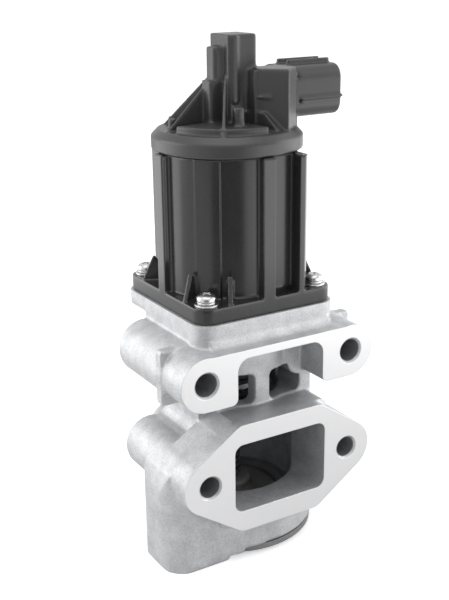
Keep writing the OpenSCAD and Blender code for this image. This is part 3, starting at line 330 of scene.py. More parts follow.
@dataclass(frozen=True)
class Finish:
    """One real finish, with its pattern sized in millimetres.

    Waves repeat every 6.3 grains. That is coarser than real tool rings, layers and wires, which
    are too fine to show. Slow clouds, counted per metre, vary both tones.
    """
    name: str
    colour: str
    second: str
    metallic: float
    roughness: float
    grain: float
    depth: float
    pattern: Pattern = Pattern.GRAIN
    spread: float = 0.08
    edge: float = 0.0
    coat: float = 0.0
    clouds: float = 60.0
    cloud_share: float = 0.35

    def build(self) -> bpy.types.Material:
        """Makes the material: a two-tone pattern in colour, roughness and relief.

        Returns:
            The node material.
        """
        material, tree = new_material(self.name)
        where = add(tree, "TexCoord").outputs["Object"]
        height = self.relief(tree, where)
        cloud = add(tree, "TexNoise", {"Vector": where, "Scale": self.clouds, "Detail": 4.0})
        share = add(tree, "Mix", {"Factor": self.cloud_share, 2: height, 3: cloud.outputs["Fac"]}, data_type="FLOAT")
        ramp = add(tree, "MapRange", {"Value": share.outputs[0], "From Min": 0.35, "From Max": 0.65})
        colour = add(tree, "Mix", {"Factor": ramp.outputs[0], 6: linear(self.colour), 7: linear(self.second)},
                     data_type="RGBA")
        rough = add(tree, "MapRange", {"Value": ramp.outputs[0], "To Min": self.roughness - self.spread / 2,
                                       "To Max": self.roughness + self.spread / 2})
        links = {"Height": height, "Strength": 1.0, "Distance": self.depth * MM}
        if self.edge:
            links["Normal"] = add(tree, "Bevel", {"Radius": self.edge * MM}, samples=6).outputs[0]
        bump = add(tree, "Bump", links)
        shader = add(tree, "BsdfPrincipled", {
            "Base Color": colour.outputs[2], "Metallic": self.metallic, "Roughness": rough.outputs[0],
            "Normal": bump.outputs[0], "Coat Weight": self.coat, "Coat Roughness": 0.25})
        add(tree, "OutputMaterial", {"Surface": shader.outputs[0]})
        return material

    def relief(self, tree: bpy.types.NodeTree, where: bpy.types.NodeSocket) -> bpy.types.NodeSocket:
        """Adds the texture that carries the pattern.

        Args:
            tree: Node tree of the material.
            where: Object coordinates in metres.

        Returns:
            Socket from 0 to 1.
        """
        scale = 1 / (self.grain * MM)
        if self.pattern is Pattern.SPECKLE:
            return add(tree, "TexVoronoi", {"Vector": where, "Scale": scale}).outputs["Distance"]
        if self.pattern is Pattern.LAYERS:
            wave = add(tree, "TexWave", {"Vector": where, "Scale": scale / WAVE, "Distortion": 0.4},
                       bands_direction="Z")
            return wave.outputs["Fac"]
        if self.pattern is Pattern.TURNED:
            flat = add(tree, "Mapping", {"Vector": where, "Scale": (1.0, 1.0, 0.35)})
            wave = add(tree, "TexWave", {"Vector": flat.outputs[0], "Scale": scale / WAVE, "Distortion": 1.5,
                                         "Detail": 1.0}, wave_type="RINGS", rings_direction="Z")
            return wave.outputs["Fac"]
        return add(tree, "TexNoise", {"Vector": where, "Scale": scale, "Detail": 3.0}).outputs["Fac"]


@dataclass(frozen=True)
class CastAluminium:
    """Aluminium casting, shot-blasted, with its port faces milled bright.

    The blasted skin is light grey and dull with grains of about half a millimetre, the milled
    faces are smoother, almost white, with faint cutter arcs, and the drilled walls are painted dark grey as shade
    inside the holes.
    Real cutter arcs are a few tenths of a millimetre apart, too fine to show, so they are drawn
    about 6 mm apart. Roughness and depth in mm are those of the blasted and of the milled skin.
    """
    name: str = "shot_blasted_cast_aluminium"
    skin: str = "#cbccce"
    pits: str = "#adaeb0"
    milled: str = "#e3e3e4"
    # painted shade: a darker grey for the walls inside the bolt holes
    hole_shade: str = "#a2a3a5"
    grain: float = 0.6
    lumps: float = 6.0
    lump_share: float = 0.4
    metallic: float = 0.7
    roughness: tuple[float, float] = (0.58, 0.36)
    depth: tuple[float, float] = (0.13, 0.003)
    edge: float = 0.3
    face_y: float = FACE_Y
    holes: tuple[tuple[float, float, float], ...] = ((32.0, 79.3, 4.53), (31.2, 38.25, 4.18))

    def drilled(self, tree: bpy.types.NodeTree, axes: bpy.types.Node) -> bpy.types.NodeSocket:
        """Finds the walls of the bolt holes, where shade is painted: places nearer to a hole's axis than its radius.

        Args:
            tree: Node tree of the material.
            axes: Node with the coordinates in metres.

        Returns:
            Socket that is 1 on the walls and 0 elsewhere.
        """
        side = add(tree, "Math", {0: axes.outputs[0]}, operation="ABSOLUTE")
        flat = add(tree, "CombineXYZ", {0: side.outputs[0], 2: axes.outputs[2]})
        found = []
        for x, z, radius in self.holes:
            away = add(tree, "VectorMath", {0: flat.outputs[0], 1: (x * MM, 0.0, z * MM)}, operation="DISTANCE")
            found.append(add(tree, "Math", {0: away.outputs["Value"], 1: radius * MM}, operation="LESS_THAN"))
        return add(tree, "Math", {0: found[0].outputs[0], 1: found[1].outputs[0]}, operation="MAXIMUM").outputs[0]

    def build(self) -> bpy.types.Material:
        """Makes the material, with milled and blasted skins and painted shade on the hole walls, mixed by place.

        Returns:
            The node material.
        """
        material, tree = new_material(self.name)
        where = add(tree, "TexCoord").outputs["Object"]
        axes = add(tree, "SeparateXYZ", {"Vector": where})
        mask = add(tree, "MapRange", {"Value": axes.outputs[1], "From Min": (self.face_y + 0.06) * MM,
                                      "From Max": (self.face_y + 0.02) * MM}).outputs[0]
        grain = add(tree, "TexNoise", {"Vector": where, "Scale": 1 / (self.grain * MM), "Detail": 4.0,
                                       "Roughness": 0.65}).outputs["Fac"]
        lumps = add(tree, "TexNoise", {"Vector": where, "Scale": 1 / (self.lumps * MM), "Detail": 3.0}).outputs["Fac"]
        both = add(tree, "Mix", {"Factor": self.lump_share, 2: grain, 3: lumps}, data_type="FLOAT").outputs[0]
        tone = add(tree, "MapRange", {"Value": both, "From Min": 0.38, "From Max": 0.62})
        skin = add(tree, "Mix", {"Factor": tone.outputs[0], 6: linear(self.pits), 7: linear(self.skin)},
                   data_type="RGBA")
        colour = add(tree, "Mix", {"Factor": mask, 6: skin.outputs[2], 7: linear(self.milled)}, data_type="RGBA")
        arcs = add(tree, "Mapping", {"Vector": where, "Location": (0.09, 0.0, -0.05)})
        cutter = add(tree, "TexWave", {"Vector": arcs.outputs[0], "Scale": 55.0, "Distortion": 0.6},
                     wave_type="RINGS", rings_direction="Y")
        drilled = self.drilled(tree, axes)
        # painted shade: the walls inside the bolt holes are given a darker grey
        colour = add(tree, "Mix", {"Factor": drilled, 6: colour.outputs[2], 7: linear(self.hole_shade)}, data_type="RGBA")
        rough = add(tree, "Mix", {"Factor": mask, 2: self.roughness[0], 3: self.roughness[1]}, data_type="FLOAT")
        height = add(tree, "Mix", {"Factor": mask, 2: both, 3: cutter.outputs["Fac"]}, data_type="FLOAT")
        depth = add(tree, "Mix", {"Factor": mask, 2: self.depth[0] * MM, 3: self.depth[1] * MM}, data_type="FLOAT")
        bevel = add(tree, "Bevel", {"Radius": self.edge * MM}, samples=6)
        bump = add(tree, "Bump", {"Height": height.outputs[0], "Strength": 0.9, "Distance": depth.outputs[0],
                                  "Normal": bevel.outputs[0]})
        shader = add(tree, "BsdfPrincipled", {
            "Base Color": colour.outputs[2], "Metallic": self.metallic, "Roughness": rough.outputs[0],
            "Normal": bump.outputs[0]})
        add(tree, "OutputMaterial", {"Surface": shader.outputs[0]})
        return material


# Each finish starts from what the real one is. Grain, depth and edge are in mm.
FINISHES: dict[str, Finish | CastAluminium] = {
    # Cast aluminium, shot-blasted: light grey and dull, with milled faces almost white
    "cast_aluminium": CastAluminium(),
    # Stainless steel, turned: grey, with faint tool rings
    "seat_steel": Finish("turned_stainless_steel", "#8f8f90", "#878788", 0.6, 0.5, 0.5, 0.0008, Pattern.TURNED,
                         edge=0.2),
    # Heat-resisting steel, turned and dulled by heat: mid grey without gloss
    "heat_steel": Finish("dull_heat_resisting_steel", "#8a8988", "#7f7e7d", 0.35, 0.55, 0.6, 0.004, edge=0.2),
    # Tool steel, ground: smooth and bright with level lines
    "stem_steel": Finish("ground_steel", "#b4b4b4", "#9a9a9b", 1.0, 0.28, 0.4, 0.004, Pattern.LAYERS, edge=0.15),
    # Bearing steel, polished: mirror-like
    "race_steel": Finish("polished_bearing_steel", "#c3c3c5", "#b0b0b3", 1.0, 0.16, 0.6, 0.002, edge=0.1),
    # Bronze, pressed and sintered: brown gold, oily and full of pores
    "bronze": Finish("sintered_bronze", "#a07c46", "#7f5f33", 1.0, 0.46, 0.5, 0.03, Pattern.SPECKLE, edge=0.1),
    # Rubber, moulded: black and dull
    "seal_rubber": Finish("moulded_rubber", "#1c1c1c", "#242423", 0.0, 0.72, 0.6, 0.02),
    # Steel, bright zinc-plated under a clear passivation: silver with fine crystals
    "zinc_steel": Finish("bright_zinc_plate", "#d9d9d8", "#bdbdbd", 1.0, 0.26, 0.35, 0.008, edge=0.2),
    # Spring wire, drawn and phosphated: dark grey and dull
    "spring_steel": Finish("phosphated_spring_wire", "#434345", "#353537", 0.4, 0.5, 0.4, 0.01),
    # Glass-filled polyamide, moulded in a polished tool: black and satin
    "case_plastic": Finish("moulded_black_polyamide", "#2a2a2b", "#313132", 0.0, 0.2, 0.45, 0.004),
    # Glass-filled polyamide, moulded in an eroded tool: charcoal, with a fine dull texture
    "cover_plastic": Finish("moulded_black_polyamide_cover", "#353536", "#3d3d3e", 0.0, 0.38, 0.4, 0.008),
    # Bonded magnet, pressed and coated: dark grey with flakes
    "magnet": Finish("coated_bonded_magnet", "#3c3c3e", "#2c2c2e", 0.4, 0.5, 0.5, 0.02, Pattern.SPECKLE, edge=0.2),
    # Electrical steel, punched and stacked: grey in level layers
    "lamination": Finish("stacked_electrical_steel", "#6f7276", "#4e5155", 0.9, 0.45, 0.5, 0.03, Pattern.LAYERS),
    # Polyamide without colour, moulded: warm off-white and slightly waxy
    "coil_plastic": Finish("natural_moulded_polyamide", "#d9d5c7", "#cbc6b6", 0.0, 0.45, 0.8, 0.01, edge=0.2),
    # Copper wire, enamelled and wound in level turns: red brown and glossy
    "coil_wire": Finish("enamelled_copper_windings", "#b06a35", "#7c4420", 0.9, 0.3, 0.5, 0.12, Pattern.LAYERS,
                        coat=0.6),
    # Glass-fibre board, lacquered: glossy green
    "board": Finish("lacquered_circuit_board", "#16512f", "#1d6238", 0.0, 0.32, 0.9, 0.01, coat=0.4),
    # Epoxy chip package, moulded: dull black
    "chip": Finish("moulded_epoxy_package", "#202021", "#2a2a2b", 0.0, 0.6, 0.3, 0.01, edge=0.15),
    # Copper alloy, bright tin-plated: pale silver
    "tin_plate": Finish("bright_tin_plate", "#d0d0cc", "#bcbcb8", 1.0, 0.24, 0.4, 0.004, edge=0.1),
    # Acetal without colour, turned: white and smooth
    "rod_plastic": Finish("natural_acetal", "#dedcd4", "#d3d0c6", 0.0, 0.38, 0.6, 0.006, edge=0.15),
}


@dataclass
class Studio:
    """Camera of the photograph, white surroundings, three softboxes, gloss cards and a pale floor.

    A softbox has a name, centre and size in metres and watts. A card has a name, direction and
    half-angle in degrees from the front, radius in metres and brightness.
    """
    location: tuple[float, float, float] = (-0.19639, -0.32379, 0.22221)
    azimuth: float = -30.99
    elevation: float = 18.54
    roll: float = -0.682
    lens: float = 60.653
    ambient: float = 0.64
    floor_half: float = 12.0
    floor_glow: float = 0.52
    card_z: tuple[float, float] = (0.025, 0.15)
    card_steps: int = 24
    softboxes: tuple[tuple, ...] = (
        ("left_softbox", (-1.1, 0.75, 0.35), (1.2, 1.4), 12.5), ("right_softbox", (1.2, -0.35, 0.45), (0.7, 1.2), 7),
        ("top_softbox", (-0.1, -0.1, 1.3), (1.0, 1.0), 4.5))
    cards: tuple[tuple, ...] = (
        ("black_flag", -31, 24, 0.27, 0.1), ("half_card", 5, 7, 0.28, 1.7), ("right_card", 54, 42, 0.28, 2.9),
        ("back_card", 130, 22, 0.28, 2.0), ("left_card", -135, 26, 0.28, 2.6))

    def camera(self) -> None:
        """Places the camera: turned about Z, tipped down, then rolled about its own axis."""
        data = bpy.data.cameras.new("camera")
        data.lens = self.lens
        data.sensor_width = 36.0
        data.clip_start = 0.01
        item = bpy.data.objects.new("camera", data)
        item.matrix_world = (Matrix.Translation(self.location)
                             @ Matrix.Rotation(math.radians(self.azimuth), 4, "Z")
                             @ Matrix.Rotation(math.radians(90 - self.elevation), 4, "X")
                             @ Matrix.Rotation(math.radians(self.roll), 4, "Z"))
        bpy.context.scene.collection.objects.link(item)
        bpy.context.scene.camera = item

    def world(self) -> None:
        """Makes the world white where it is seen or mirrored, and softer as a light."""
        world = bpy.data.worlds.new("white_room")
        bpy.context.scene.world = world
        world.use_nodes = True
        tree = world.node_tree
        tree.nodes.clear()
        path = add(tree, "LightPath")
        seen = path.outputs["Is Camera Ray"]
        for ray in ("Is Glossy Ray", "Is Transmission Ray"):
            seen = add(tree, "Math", {0: seen, 1: path.outputs[ray]}, operation="MAXIMUM").outputs[0]
        level = add(tree, "MapRange", {"Value": seen, "To Min": self.ambient, "To Max": 1.0})
        back = add(tree, "Background", {"Color": (1, 1, 1, 1), "Strength": level.outputs[0]})
        add(tree, "OutputWorld", {"Surface": back.outputs[0]})

    def softbox(self, name: str, centre: tuple[float, float, float], size: tuple[float, float], power: float) -> None:
        """Hangs a rectangular softbox that faces the middle of the valve.

        Args:
            name: Name of the light.
            centre: Its place in metres.
            size: Its width and height in metres.
            power: Its power in watts.
        """
        data = bpy.data.lights.new(name, "AREA")
        data.shape = "RECTANGLE"
        data.size, data.size_y = size
        data.energy = power
        item = bpy.data.objects.new(name, data)
        aim = Vector((0, 0, 0.1)) - Vector(centre)
        item.matrix_world = Matrix.Translation(centre) @ aim.to_track_quat("-Z", "Y").to_matrix().to_4x4()
        item.visible_camera = False
        bpy.context.scene.collection.objects.link(item)

    def card(self, name: str, azimuth: float, half: float, radius: float, strength: float) -> None:
        """Stands a curved card round the valve that only its gloss sees: (r sin a, -r cos a, z).

        Args:
            name: Name of the card.
            azimuth: Direction of its middle in degrees from the front.
            half: Half the angle it covers in degrees.
            radius: Distance from the valve axis in metres.
            strength: Its brightness, where 1 is white and 0 is black cloth.
        """
        count = self.card_steps + 1
        angle = np.radians(np.linspace(azimuth - half, azimuth + half, count))
        points = np.vstack([np.stack([radius * np.sin(angle), -radius * np.cos(angle), np.full(count, z)], -1)
                            for z in self.card_z])
        k = np.arange(self.card_steps)
        item = mesh_object(name, points, np.stack([k, k + 1, k + 1 + count, k + count], -1))
        material, tree = new_material(name)
        glow = add(tree, "Emission", {"Color": (1, 1, 1, 1), "Strength": strength})
        add(tree, "OutputMaterial", {"Surface": glow.outputs[0]})
        item.data.materials.append(material)
        item.visible_camera = item.visible_diffuse = item.visible_shadow = False
        item.visible_transmission = item.visible_volume_scatter = False

    def floor(self) -> None:
        """Lays a pale floor that is white to the camera outside the valve's shadow."""
        corners = np.array([[-1, -1, 0], [1, -1, 0], [1, 1, 0], [-1, 1, 0]]) * self.floor_half
        floor = mesh_object("floor", corners, [[0, 1, 2, 3]], smooth=False)
        material, tree = new_material("pale_studio_floor")
        path = add(tree, "LightPath")
        where = add(tree, "TexCoord").outputs["Object"]
        paper = add(tree, "TexNoise", {"Vector": where, "Scale": 900.0, "Detail": 2.0})
        bump = add(tree, "Bump", {"Height": paper.outputs["Fac"], "Distance": 0.00002})
        base = add(tree, "BsdfDiffuse", {"Color": linear("#f0f0f0"), "Normal": bump.outputs[0]})
        glow = add(tree, "Emission", {"Color": (1, 1, 1, 1), "Strength": self.floor_glow})
        seen = add(tree, "MixShader", {0: path.outputs["Is Camera Ray"], 2: glow.outputs[0]})
        both = add(tree, "AddShader", {0: base.outputs[0], 1: seen.outputs[0]})
        add(tree, "OutputMaterial", {"Surface": both.outputs[0]})
        floor.data.materials.append(material)

    def build(self) -> None:
        """Builds the whole studio."""
        bpy.context.scene.view_settings.view_transform = "Standard"
        self.camera()
        self.world()
        for softbox in self.softboxes:
            self.softbox(*softbox)
        for card in self.cards:
            self.card(*card)
        self.floor()


@dataclass
class Casting:
    """The valve housing with soft cast edges and crisp machined faces."""
    voxel: float = 0.5
    rounds: int = 3
    face_y: float = FACE_Y
    top_z: float = 98.2
    push: float = 3.0
    upper_hole: tuple[float, float, float] = (32.0, 79.3, 4.5)
    lower_hole: tuple[float, float, float] = (31.2, 38.25, 4.15)
    chamfer: float = 0.75
    past: float = 60.0
    bores: list[tuple[float, float]] = field(default_factory=lambda: [
        (0, -6), (33.25, -6), (33.25, 3.71), (26.52, 3.72), (26.52, 13.5), (0, 13.5)])
    room: list[tuple[float, float]] = field(default_factory=lambda: [
        (0, 57), (7.02, 57), (7.02, 71.5), (7.52, 71.5), (7.52, 74.5), (19, 74.5), (19, 104), (0, 104)])

    def blend_shoulders(self, item: bpy.types.Object) -> None:
        """Fills the steps between the left boss, its lug, the duct and the flange with drafted metal.

        The lug's shoulder is a wedge within a plan whose front corner is an arc, 11 mm in radius.

        Args:
            item: Merged copy of the casting.
        """
        fills = (("slope", [(-37.3, 40), (-22, 40), (-22, 57.6), (-37.3, 47.3)], self.face_y, -16.4),
                 ("cove", [(-34, 44), (-22, 44), (-22, 55), (-24.69, 55), (-25.4, 52.2), (-27.2, 50.3), (-30, 49.25),
                           (-34, 48.7)], -16.5, 9))
        for name, outline, y0, y1 in fills:
            cut(item, prism(name, outline, y0, y1), "UNION")
        wedge = prism("wedge", [(-44.58, 20), (-38, 20), (-38, 46), (-40.2, 44.5), (-44.58, 38.0)], -32, -2)
        turn = np.linspace(np.pi, 1.5 * np.pi, 12)
        plan = [(-33.6 + 11 * math.cos(a), -19.9 + 11 * math.sin(a)) for a in turn]
        plan += [(-19, -30.9), (-19, -5.1), (-38.6, -5.1), (-42.8, -6.9), (-44.59, -11.1)]
        xy = np.array(plan) * MM
        count = len(xy)
        k = np.arange(count)
        n = (k + 1) % count
        points = np.vstack([np.c_[xy, np.full(count, z * MM)] for z in (18, 50)])
        faces = np.stack([k, n, n + count, k + count], -1).tolist() + [k[::-1].tolist(), (k + count).tolist()]
        cut(wedge, mesh_object("plan", points, faces, smooth=False), "INTERSECT")
        cut(item, wedge, "UNION")
        cut(item, prism("corner", [(-50, 30.5), (-44.65, 30.5), (-44.3, 34.5), (-43.6, 38), (-42.6, 41), (-41.2, 43.6),
                                   (-41.2, 47), (-50, 47)], -33, -2))
        cut(item, prism("over", [(-34, 49.68), (-18.57, 60.0), (-18.57, 63), (-34, 63)], -40, -17.5))

    def blank(self) -> bpy.types.Object:
        """Copies the casting and stands its machined faces proud, as before machining.

        Returns:
            The unmachined casting with softened edges.
        """
        item = merged_copy("valve_housing", "valve_housing_cast")
        self.blend_shoulders(item)
        points = np.empty(len(item.data.vertices) * 3, np.float32)
        item.data.vertices.foreach_get("co", points)
        points = points.reshape(-1, 3)
        points[points[:, 1] < (self.face_y + 0.01) * MM, 1] -= self.push * MM
        points[points[:, 2] > (self.top_z - 0.01) * MM, 2] += self.push * MM
        points[points[:, 2] < 0.01 * MM, 2] -= self.push * MM
        item.data.vertices.foreach_set("co", points.ravel())
        item.data.update()
        soften(item, self.voxel, self.rounds)
        return item

    def drill(self, x: float, z: float, radius: float) -> bpy.types.Object:
        """Makes the cutter of one through hole along Y with its countersink.

        Args:
            x: Place of the hole in mm.
            z: Height of the hole in mm.
            radius: Radius of the hole in mm.

        Returns:
            Cutter as a closed mesh.
        """
        front = -self.face_y
        lead = 4.0
        points, faces = lathe([(0, -self.past), (radius, -self.past), (radius, front - self.chamfer),
                               (radius + self.chamfer + lead, front + lead), (0, front + lead)], 64)
        turned = np.stack([points[:, 0] + x * MM, -points[:, 2], points[:, 1] + z * MM], -1)
        return mesh_object("drill", turned, faces)

    def machine(self, item: bpy.types.Object) -> None:
        """Mills the port faces, the top and the feet, and bores the holes.

        Args:
            item: The unmachined casting.
        """
        low = np.array([-self.past, self.face_y, 0]) * MM
        high = np.array([self.past, self.past, self.top_z]) * MM
        corners = np.array([[x, y, z] for z in (0, 1) for y in (0, 1) for x in (0, 1)])
        box = mesh_object("mill", low + corners * (high - low), [
            [0, 2, 3, 1], [4, 5, 7, 6], [0, 1, 5, 4], [2, 6, 7, 3], [0, 4, 6, 2], [1, 3, 7, 5]], smooth=False)
        cut(item, box, "INTERSECT")
        for profile in (self.bores, self.room):
            cut(item, mesh_object("bore", *lathe(profile, 128)))
        for side in (-1, 1):
            cut(item, self.drill(side * self.upper_hole[0], *self.upper_hole[1:]))
            cut(item, self.drill(side * self.lower_hole[0], *self.lower_hole[1:]))

    def build(self, material: bpy.types.Material) -> None:
        """Builds the casting and puts it in place of its CAD node.

        Args:
            material: The cast finish.
        """
        item = self.blank()
        self.machine(item)
        finish_mesh(item, material)
        place(item, "cast_aluminium", "valve_housing")


@dataclass
class MotorCase:
    """The black motor case, moulded, with a flat pocket beside its front and back pilasters."""
    voxel: float = 0.42
    rounds: int = 4
    low_z: float = 105.2
    top_z: float = 156.2
    pilaster: float = 2.65
    key: float = 13.1
    floor: float = 24.3
    wall: float = 3.2
    inner: float = 9.0
    under: float = 2.0
    lap: float = 0.1

    def pockets(self, item: bpy.types.Object) -> None:
        """Flattens the wall between each pilaster and the key beside it.

        Args:
            item: Merged copy of the case.
        """
        for side in (1, -1):
            for name, x0, x1, y0, y1, operation in (
                    ("pocket", self.pilaster, self.key, self.floor, self.floor + self.wall, "DIFFERENCE"),
                    ("flat", self.inner, self.key + self.lap, self.floor - self.under, self.floor, "UNION")):
                left, right = sorted((side * x0, side * x1))
                outline = [(left, self.low_z), (right, self.low_z), (right, self.top_z), (left, self.top_z)]
                cut(item, prism(name, outline, *sorted((-side * y0, -side * y1))), operation)

    def build(self, material: bpy.types.Material) -> None:
        """Builds the case with the small radii that a mould leaves.

        Args:
            material: Its finish.
        """
        item = merged_copy("motor_case", "motor_case_moulded")
        self.pockets(item)
        soften(item, self.voxel, self.rounds)
        finish_mesh(item, material)
        place(item, "case_plastic", "motor_case")


@dataclass
class Cover:
    """The black cover with its sensor tower, chimney, ribs and wiring socket."""
    voxel: float = 0.38
    rounds: int = 7
    extra: int = 22
    triangles: int = 180000
    blocks: tuple[Box, ...] = (
        ((-3.9, 8.3), (-10.2, 4.8), (176.0, 199.0)), ((5.5, 21.8), (-23.2, -8.0), (174.0, 188.0)),
        ((13.5, 21.8), (-20.0, -8.0), (166.8, 188.0)), ((-8.6, -4.6), (-5.6, 1.2), (166.8, 194.0)),
        ((-21.6, -17.4), (4.4, 8.6), (165.0, 169.0)), ((-7.8, -2.6), (-19.3, -14.1), (168.5, 174.0)))

    def build(self, material: bpy.types.Material) -> None:
        """Builds the cover with the radii that its mould leaves, wider on the tower, chimney and pegs.

        Args:
            material: Its finish.
        """
        item = merged_copy("connector_cover", "connector_cover_moulded")
        soften(item, self.voxel, self.rounds, self.triangles, self.blocks, self.extra)
        finish_mesh(item, material)
        place(item, "cover_plastic", "connector_cover")


@dataclass
class Fasteners:
    """Four M4 pan-head screws with a cross recess, each on a split washer and a flat one."""
    reach: float = 23.75
    plate_z: float = 104.2
    flat: tuple[float, float, float] = (4.5, 2.15, 0.8)
    split: tuple[float, float, float] = (3.55, 2.1, 1.0)
    head_r: float = 3.6
    head_h: float = 2.7
    shank_r: float = 2.0
    pitch: float = 0.7
    tip_z: float = 92.4
    turns: tuple[float, ...] = (20.0, 64.0, 38.0, 5.0)
    sides: int = 64

    def at_corners(self, name: str, points: np.ndarray, faces: list) -> bpy.types.Object:
        """Repeats a mesh at the four corners of the plate, each turned a little differently.

        Args:
            name: Name of the object.
            points: Points in metres about the axis.
            faces: Corner numbers of each face.

        Returns:
            One object with four shells.
        """
        shells = []
        for number, (sx, sy) in enumerate(((-1, -1), (1, -1), (1, 1), (-1, 1))):
            turn = Matrix.Rotation(math.radians(self.turns[number]), 3, "Z")
            shells.append(points @ np.array(turn).T + np.array([sx * self.reach, sy * self.reach, 0]) * MM)
        count = len(points)
        return mesh_object(name, np.vstack(shells), [[v + k * count for v in f] for k in range(4) for f in faces])

    def washer(self, r_out: float, r_in: float, z0: float, z1: float, soft: float) -> tuple[np.ndarray, list]:
        """Carries a rectangle with cut corners once round the axis: rings (r cos a, r sin a, z).

        Args:
            r_out: Outer radius in mm.
            r_in: Radius of the hole in mm.
            z0: Height of the underside in mm.
            z1: Height of the top in mm.
            soft: Size of the cut corners in mm.

        Returns:
            Points in metres and quads of a closed ring.
        """
        rz = np.array([(r_in, z0 + soft), (r_in + soft, z0), (r_out - soft, z0), (r_out, z0 + soft),
                       (r_out, z1 - soft), (r_out - soft, z1), (r_in + soft, z1), (r_in, z1 - soft)]) * MM
        angle = np.linspace(0, 2 * np.pi, self.sides, endpoint=False)
        rings = np.stack([rz[:, :1] * np.cos(angle), rz[:, :1] * np.sin(angle),
                          np.repeat(rz[:, 1:], self.sides, axis=1)], -1).reshape(-1, 3)
        return rings, grid_faces(len(rz), self.sides, closed_rows=True).tolist()

    def split_washer(self) -> tuple[np.ndarray, list]:
        """Carries a square section along one turn of a low helix and closes both ends.

        Each point is (r cos a, r sin a, z + rise a / 2 pi) in mm, so that the cut ends stand apart.

        Returns:
            Points in metres and faces.
        """
        r_out, r_in, high = self.split
        soft, rise, gap, steps = 0.12, 0.18, 0.12, 72
        z0 = self.plate_z + self.flat[2]
        rz = np.array([(r_in, z0 + soft), (r_in + soft, z0), (r_out - soft, z0), (r_out, z0 + soft),
                       (r_out, z0 + high - rise - soft), (r_out - soft, z0 + high - rise),
                       (r_in + soft, z0 + high - rise), (r_in, z0 + high - rise - soft)])
        turn = np.linspace(gap / 2, 2 * np.pi - gap / 2, steps)[:, None]
        points = np.stack([rz[:, 0] * np.cos(turn), rz[:, 0] * np.sin(turn), rz[:, 1] + rise * turn / (2 * np.pi)], -1)
        count = len(rz)
        faces = grid_faces(steps, count).tolist()
        faces += [list(range(count))[::-1], list(range((steps - 1) * count, steps * count))]
        return points.reshape(-1, 3) * MM, [f[::-1] for f in faces]

    def screw(self) -> tuple[np.ndarray, list]:
        """Turns the head's domed profile and presses a tapered cross into it.

        Returns:
            Points in metres and faces of one screw on the axis.
        """
        z = self.plate_z + self.flat[2] + self.split[2]
        brim, soft, core, crests = 1.1, 0.25, 0.8, 16
        dome = [(self.head_r * math.cos(t), z + brim + (self.head_h - brim) * math.sin(t))
                for t in np.linspace(0, np.pi / 2, 13)[:-1]]
        rod = [(self.shank_r * (core if k % 2 else 1.0), self.tip_z + 0.8 + self.pitch / 2 * k) for k in range(crests)]
        profile = [(0, self.tip_z), (self.shank_r * 0.6, self.tip_z)] + rod + [
            (self.shank_r, z - 0.01), (self.head_r - soft, z), (self.head_r, z + soft)] + dome + [(0, z + self.head_h)]
        item = mesh_object("screw", *lathe(profile, self.sides))
        arm, half, deep, above, foot, mouth = 2.1, 0.5, 1.7, 0.6, 0.45, 1.08
        plus = np.array([(half, half), (half, arm), (-half, arm), (-half, half), (-arm, half), (-arm, -half),
                         (-half, -half), (-half, -arm), (half, -arm), (half, -half), (arm, -half), (arm, half)])
        count = len(plus)
        low, high = z + self.head_h - deep, z + self.head_h + above
        points = np.vstack([np.c_[plus * foot, np.full(count, low)], np.c_[plus * mouth, np.full(count, high)]]) * MM
        faces = grid_faces(2, count).tolist() + [list(range(count))[::-1], list(range(count, 2 * count))]
        cut(item, mesh_object("driver", points, faces, smooth=False))
        out = np.empty(len(item.data.vertices) * 3)
        item.data.vertices.foreach_get("co", out)
        made = out.reshape(-1, 3), [list(p.vertices) for p in item.data.polygons]
        bpy.data.objects.remove(item)
        return made

    def build(self, material: bpy.types.Material) -> None:
        """Builds the screws and washers.

        Args:
            material: The bright zinc finish.
        """
        r_out, r_in, high = self.flat
        made = {"case_screws": self.screw(), "spring_washers": self.split_washer(),
                "flat_washers": self.washer(r_out, r_in, self.plate_z, self.plate_z + high, 0.12)}
        for node, (points, faces) in made.items():
            item = self.at_corners(node + "_fine", points, faces)
            finish_mesh(item, material, angle=30)
            place(item, "zinc_steel", node)


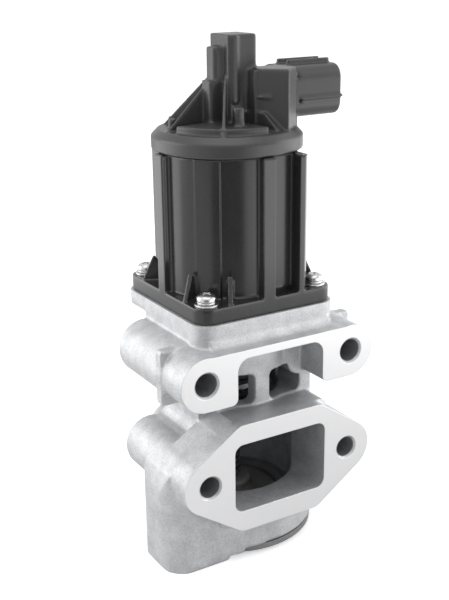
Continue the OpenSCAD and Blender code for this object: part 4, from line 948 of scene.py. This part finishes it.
@dataclass
class Coil:
    """A spring of round wire with closed ends."""
    name: str
    mean_r: float
    wire_r: float
    low_z: float
    high_z: float
    turns: float
    steps: int = 40
    sides: int = 12
    lying: float = 0.75

    def build(self, material: bpy.types.Material) -> bpy.types.Object:
        """Carries a circle along a helix that lies level for three quarters of a turn at each end.

        Each ring has points (R + w cos b) outwards and w sin b upwards from the helix, with the height
        share held at 0 and at 1 over the level turns. The ends are closed by flat faces.

        Args:
            material: The wire's finish.

        Returns:
            The spring.
        """
        rings = round(self.turns * self.steps) + 1
        share = np.linspace(0, 1, rings)[:, None]
        level = np.clip((share * self.turns - self.lying) / (self.turns - 2 * self.lying), 0, 1)
        angle = 2 * np.pi * self.turns * share
        round_wire = np.linspace(0, 2 * np.pi, self.sides, endpoint=False)
        radius = self.mean_r + self.wire_r * np.cos(round_wire)
        height = (self.low_z + self.wire_r + level * (self.high_z - self.low_z - 2 * self.wire_r)
                  + self.wire_r * np.sin(round_wire))
        points = np.stack([radius * np.cos(angle), radius * np.sin(angle), height], -1).reshape(-1, 3) * MM
        last = (rings - 1) * self.sides
        faces = grid_faces(rings, self.sides).tolist()
        faces += [list(range(self.sides))[::-1], [last + k for k in range(self.sides)]]
        item = mesh_object(self.name, points, [f[::-1] for f in faces])
        finish_mesh(item, material, angle=60)
        return item


def dress(materials: dict[str, bpy.types.Material]) -> None:
    """Gives every CAD node the finish of its material slot.

    Args:
        materials: Material of each slot.
    """
    for part in frame["record"]["subparts"]:
        item = frame["nodes"][part["node"]]
        item.data.materials.clear()
        item.data.materials.append(materials[part["material_slot"]])


def main() -> None:
    """Builds the studio, the finishes and each finer piece in order."""
    logging.basicConfig(level=logging.INFO)
    Studio().build()
    materials = {slot: finish.build() for slot, finish in FINISHES.items()}
    dress(materials)
    Casting().build(materials["cast_aluminium"])
    MotorCase().build(materials["case_plastic"])
    Cover().build(materials["cover_plastic"])
    Fasteners().build(materials["zinc_steel"])
    spring = Coil("return_spring_fine", 13.3, 1.15, 58.8, 86.0, 6).build(materials["spring_steel"])
    place(spring, "spring_steel", "return_spring")
    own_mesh(spring)
    small = Coil("sensor_spring_fine", 1.6, 0.2, 183.9, 195.5, 8, 24, 8).build(materials["spring_steel"])
    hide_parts("sensor_spring")
    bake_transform(small)


if __name__ == "__main__":
    main()
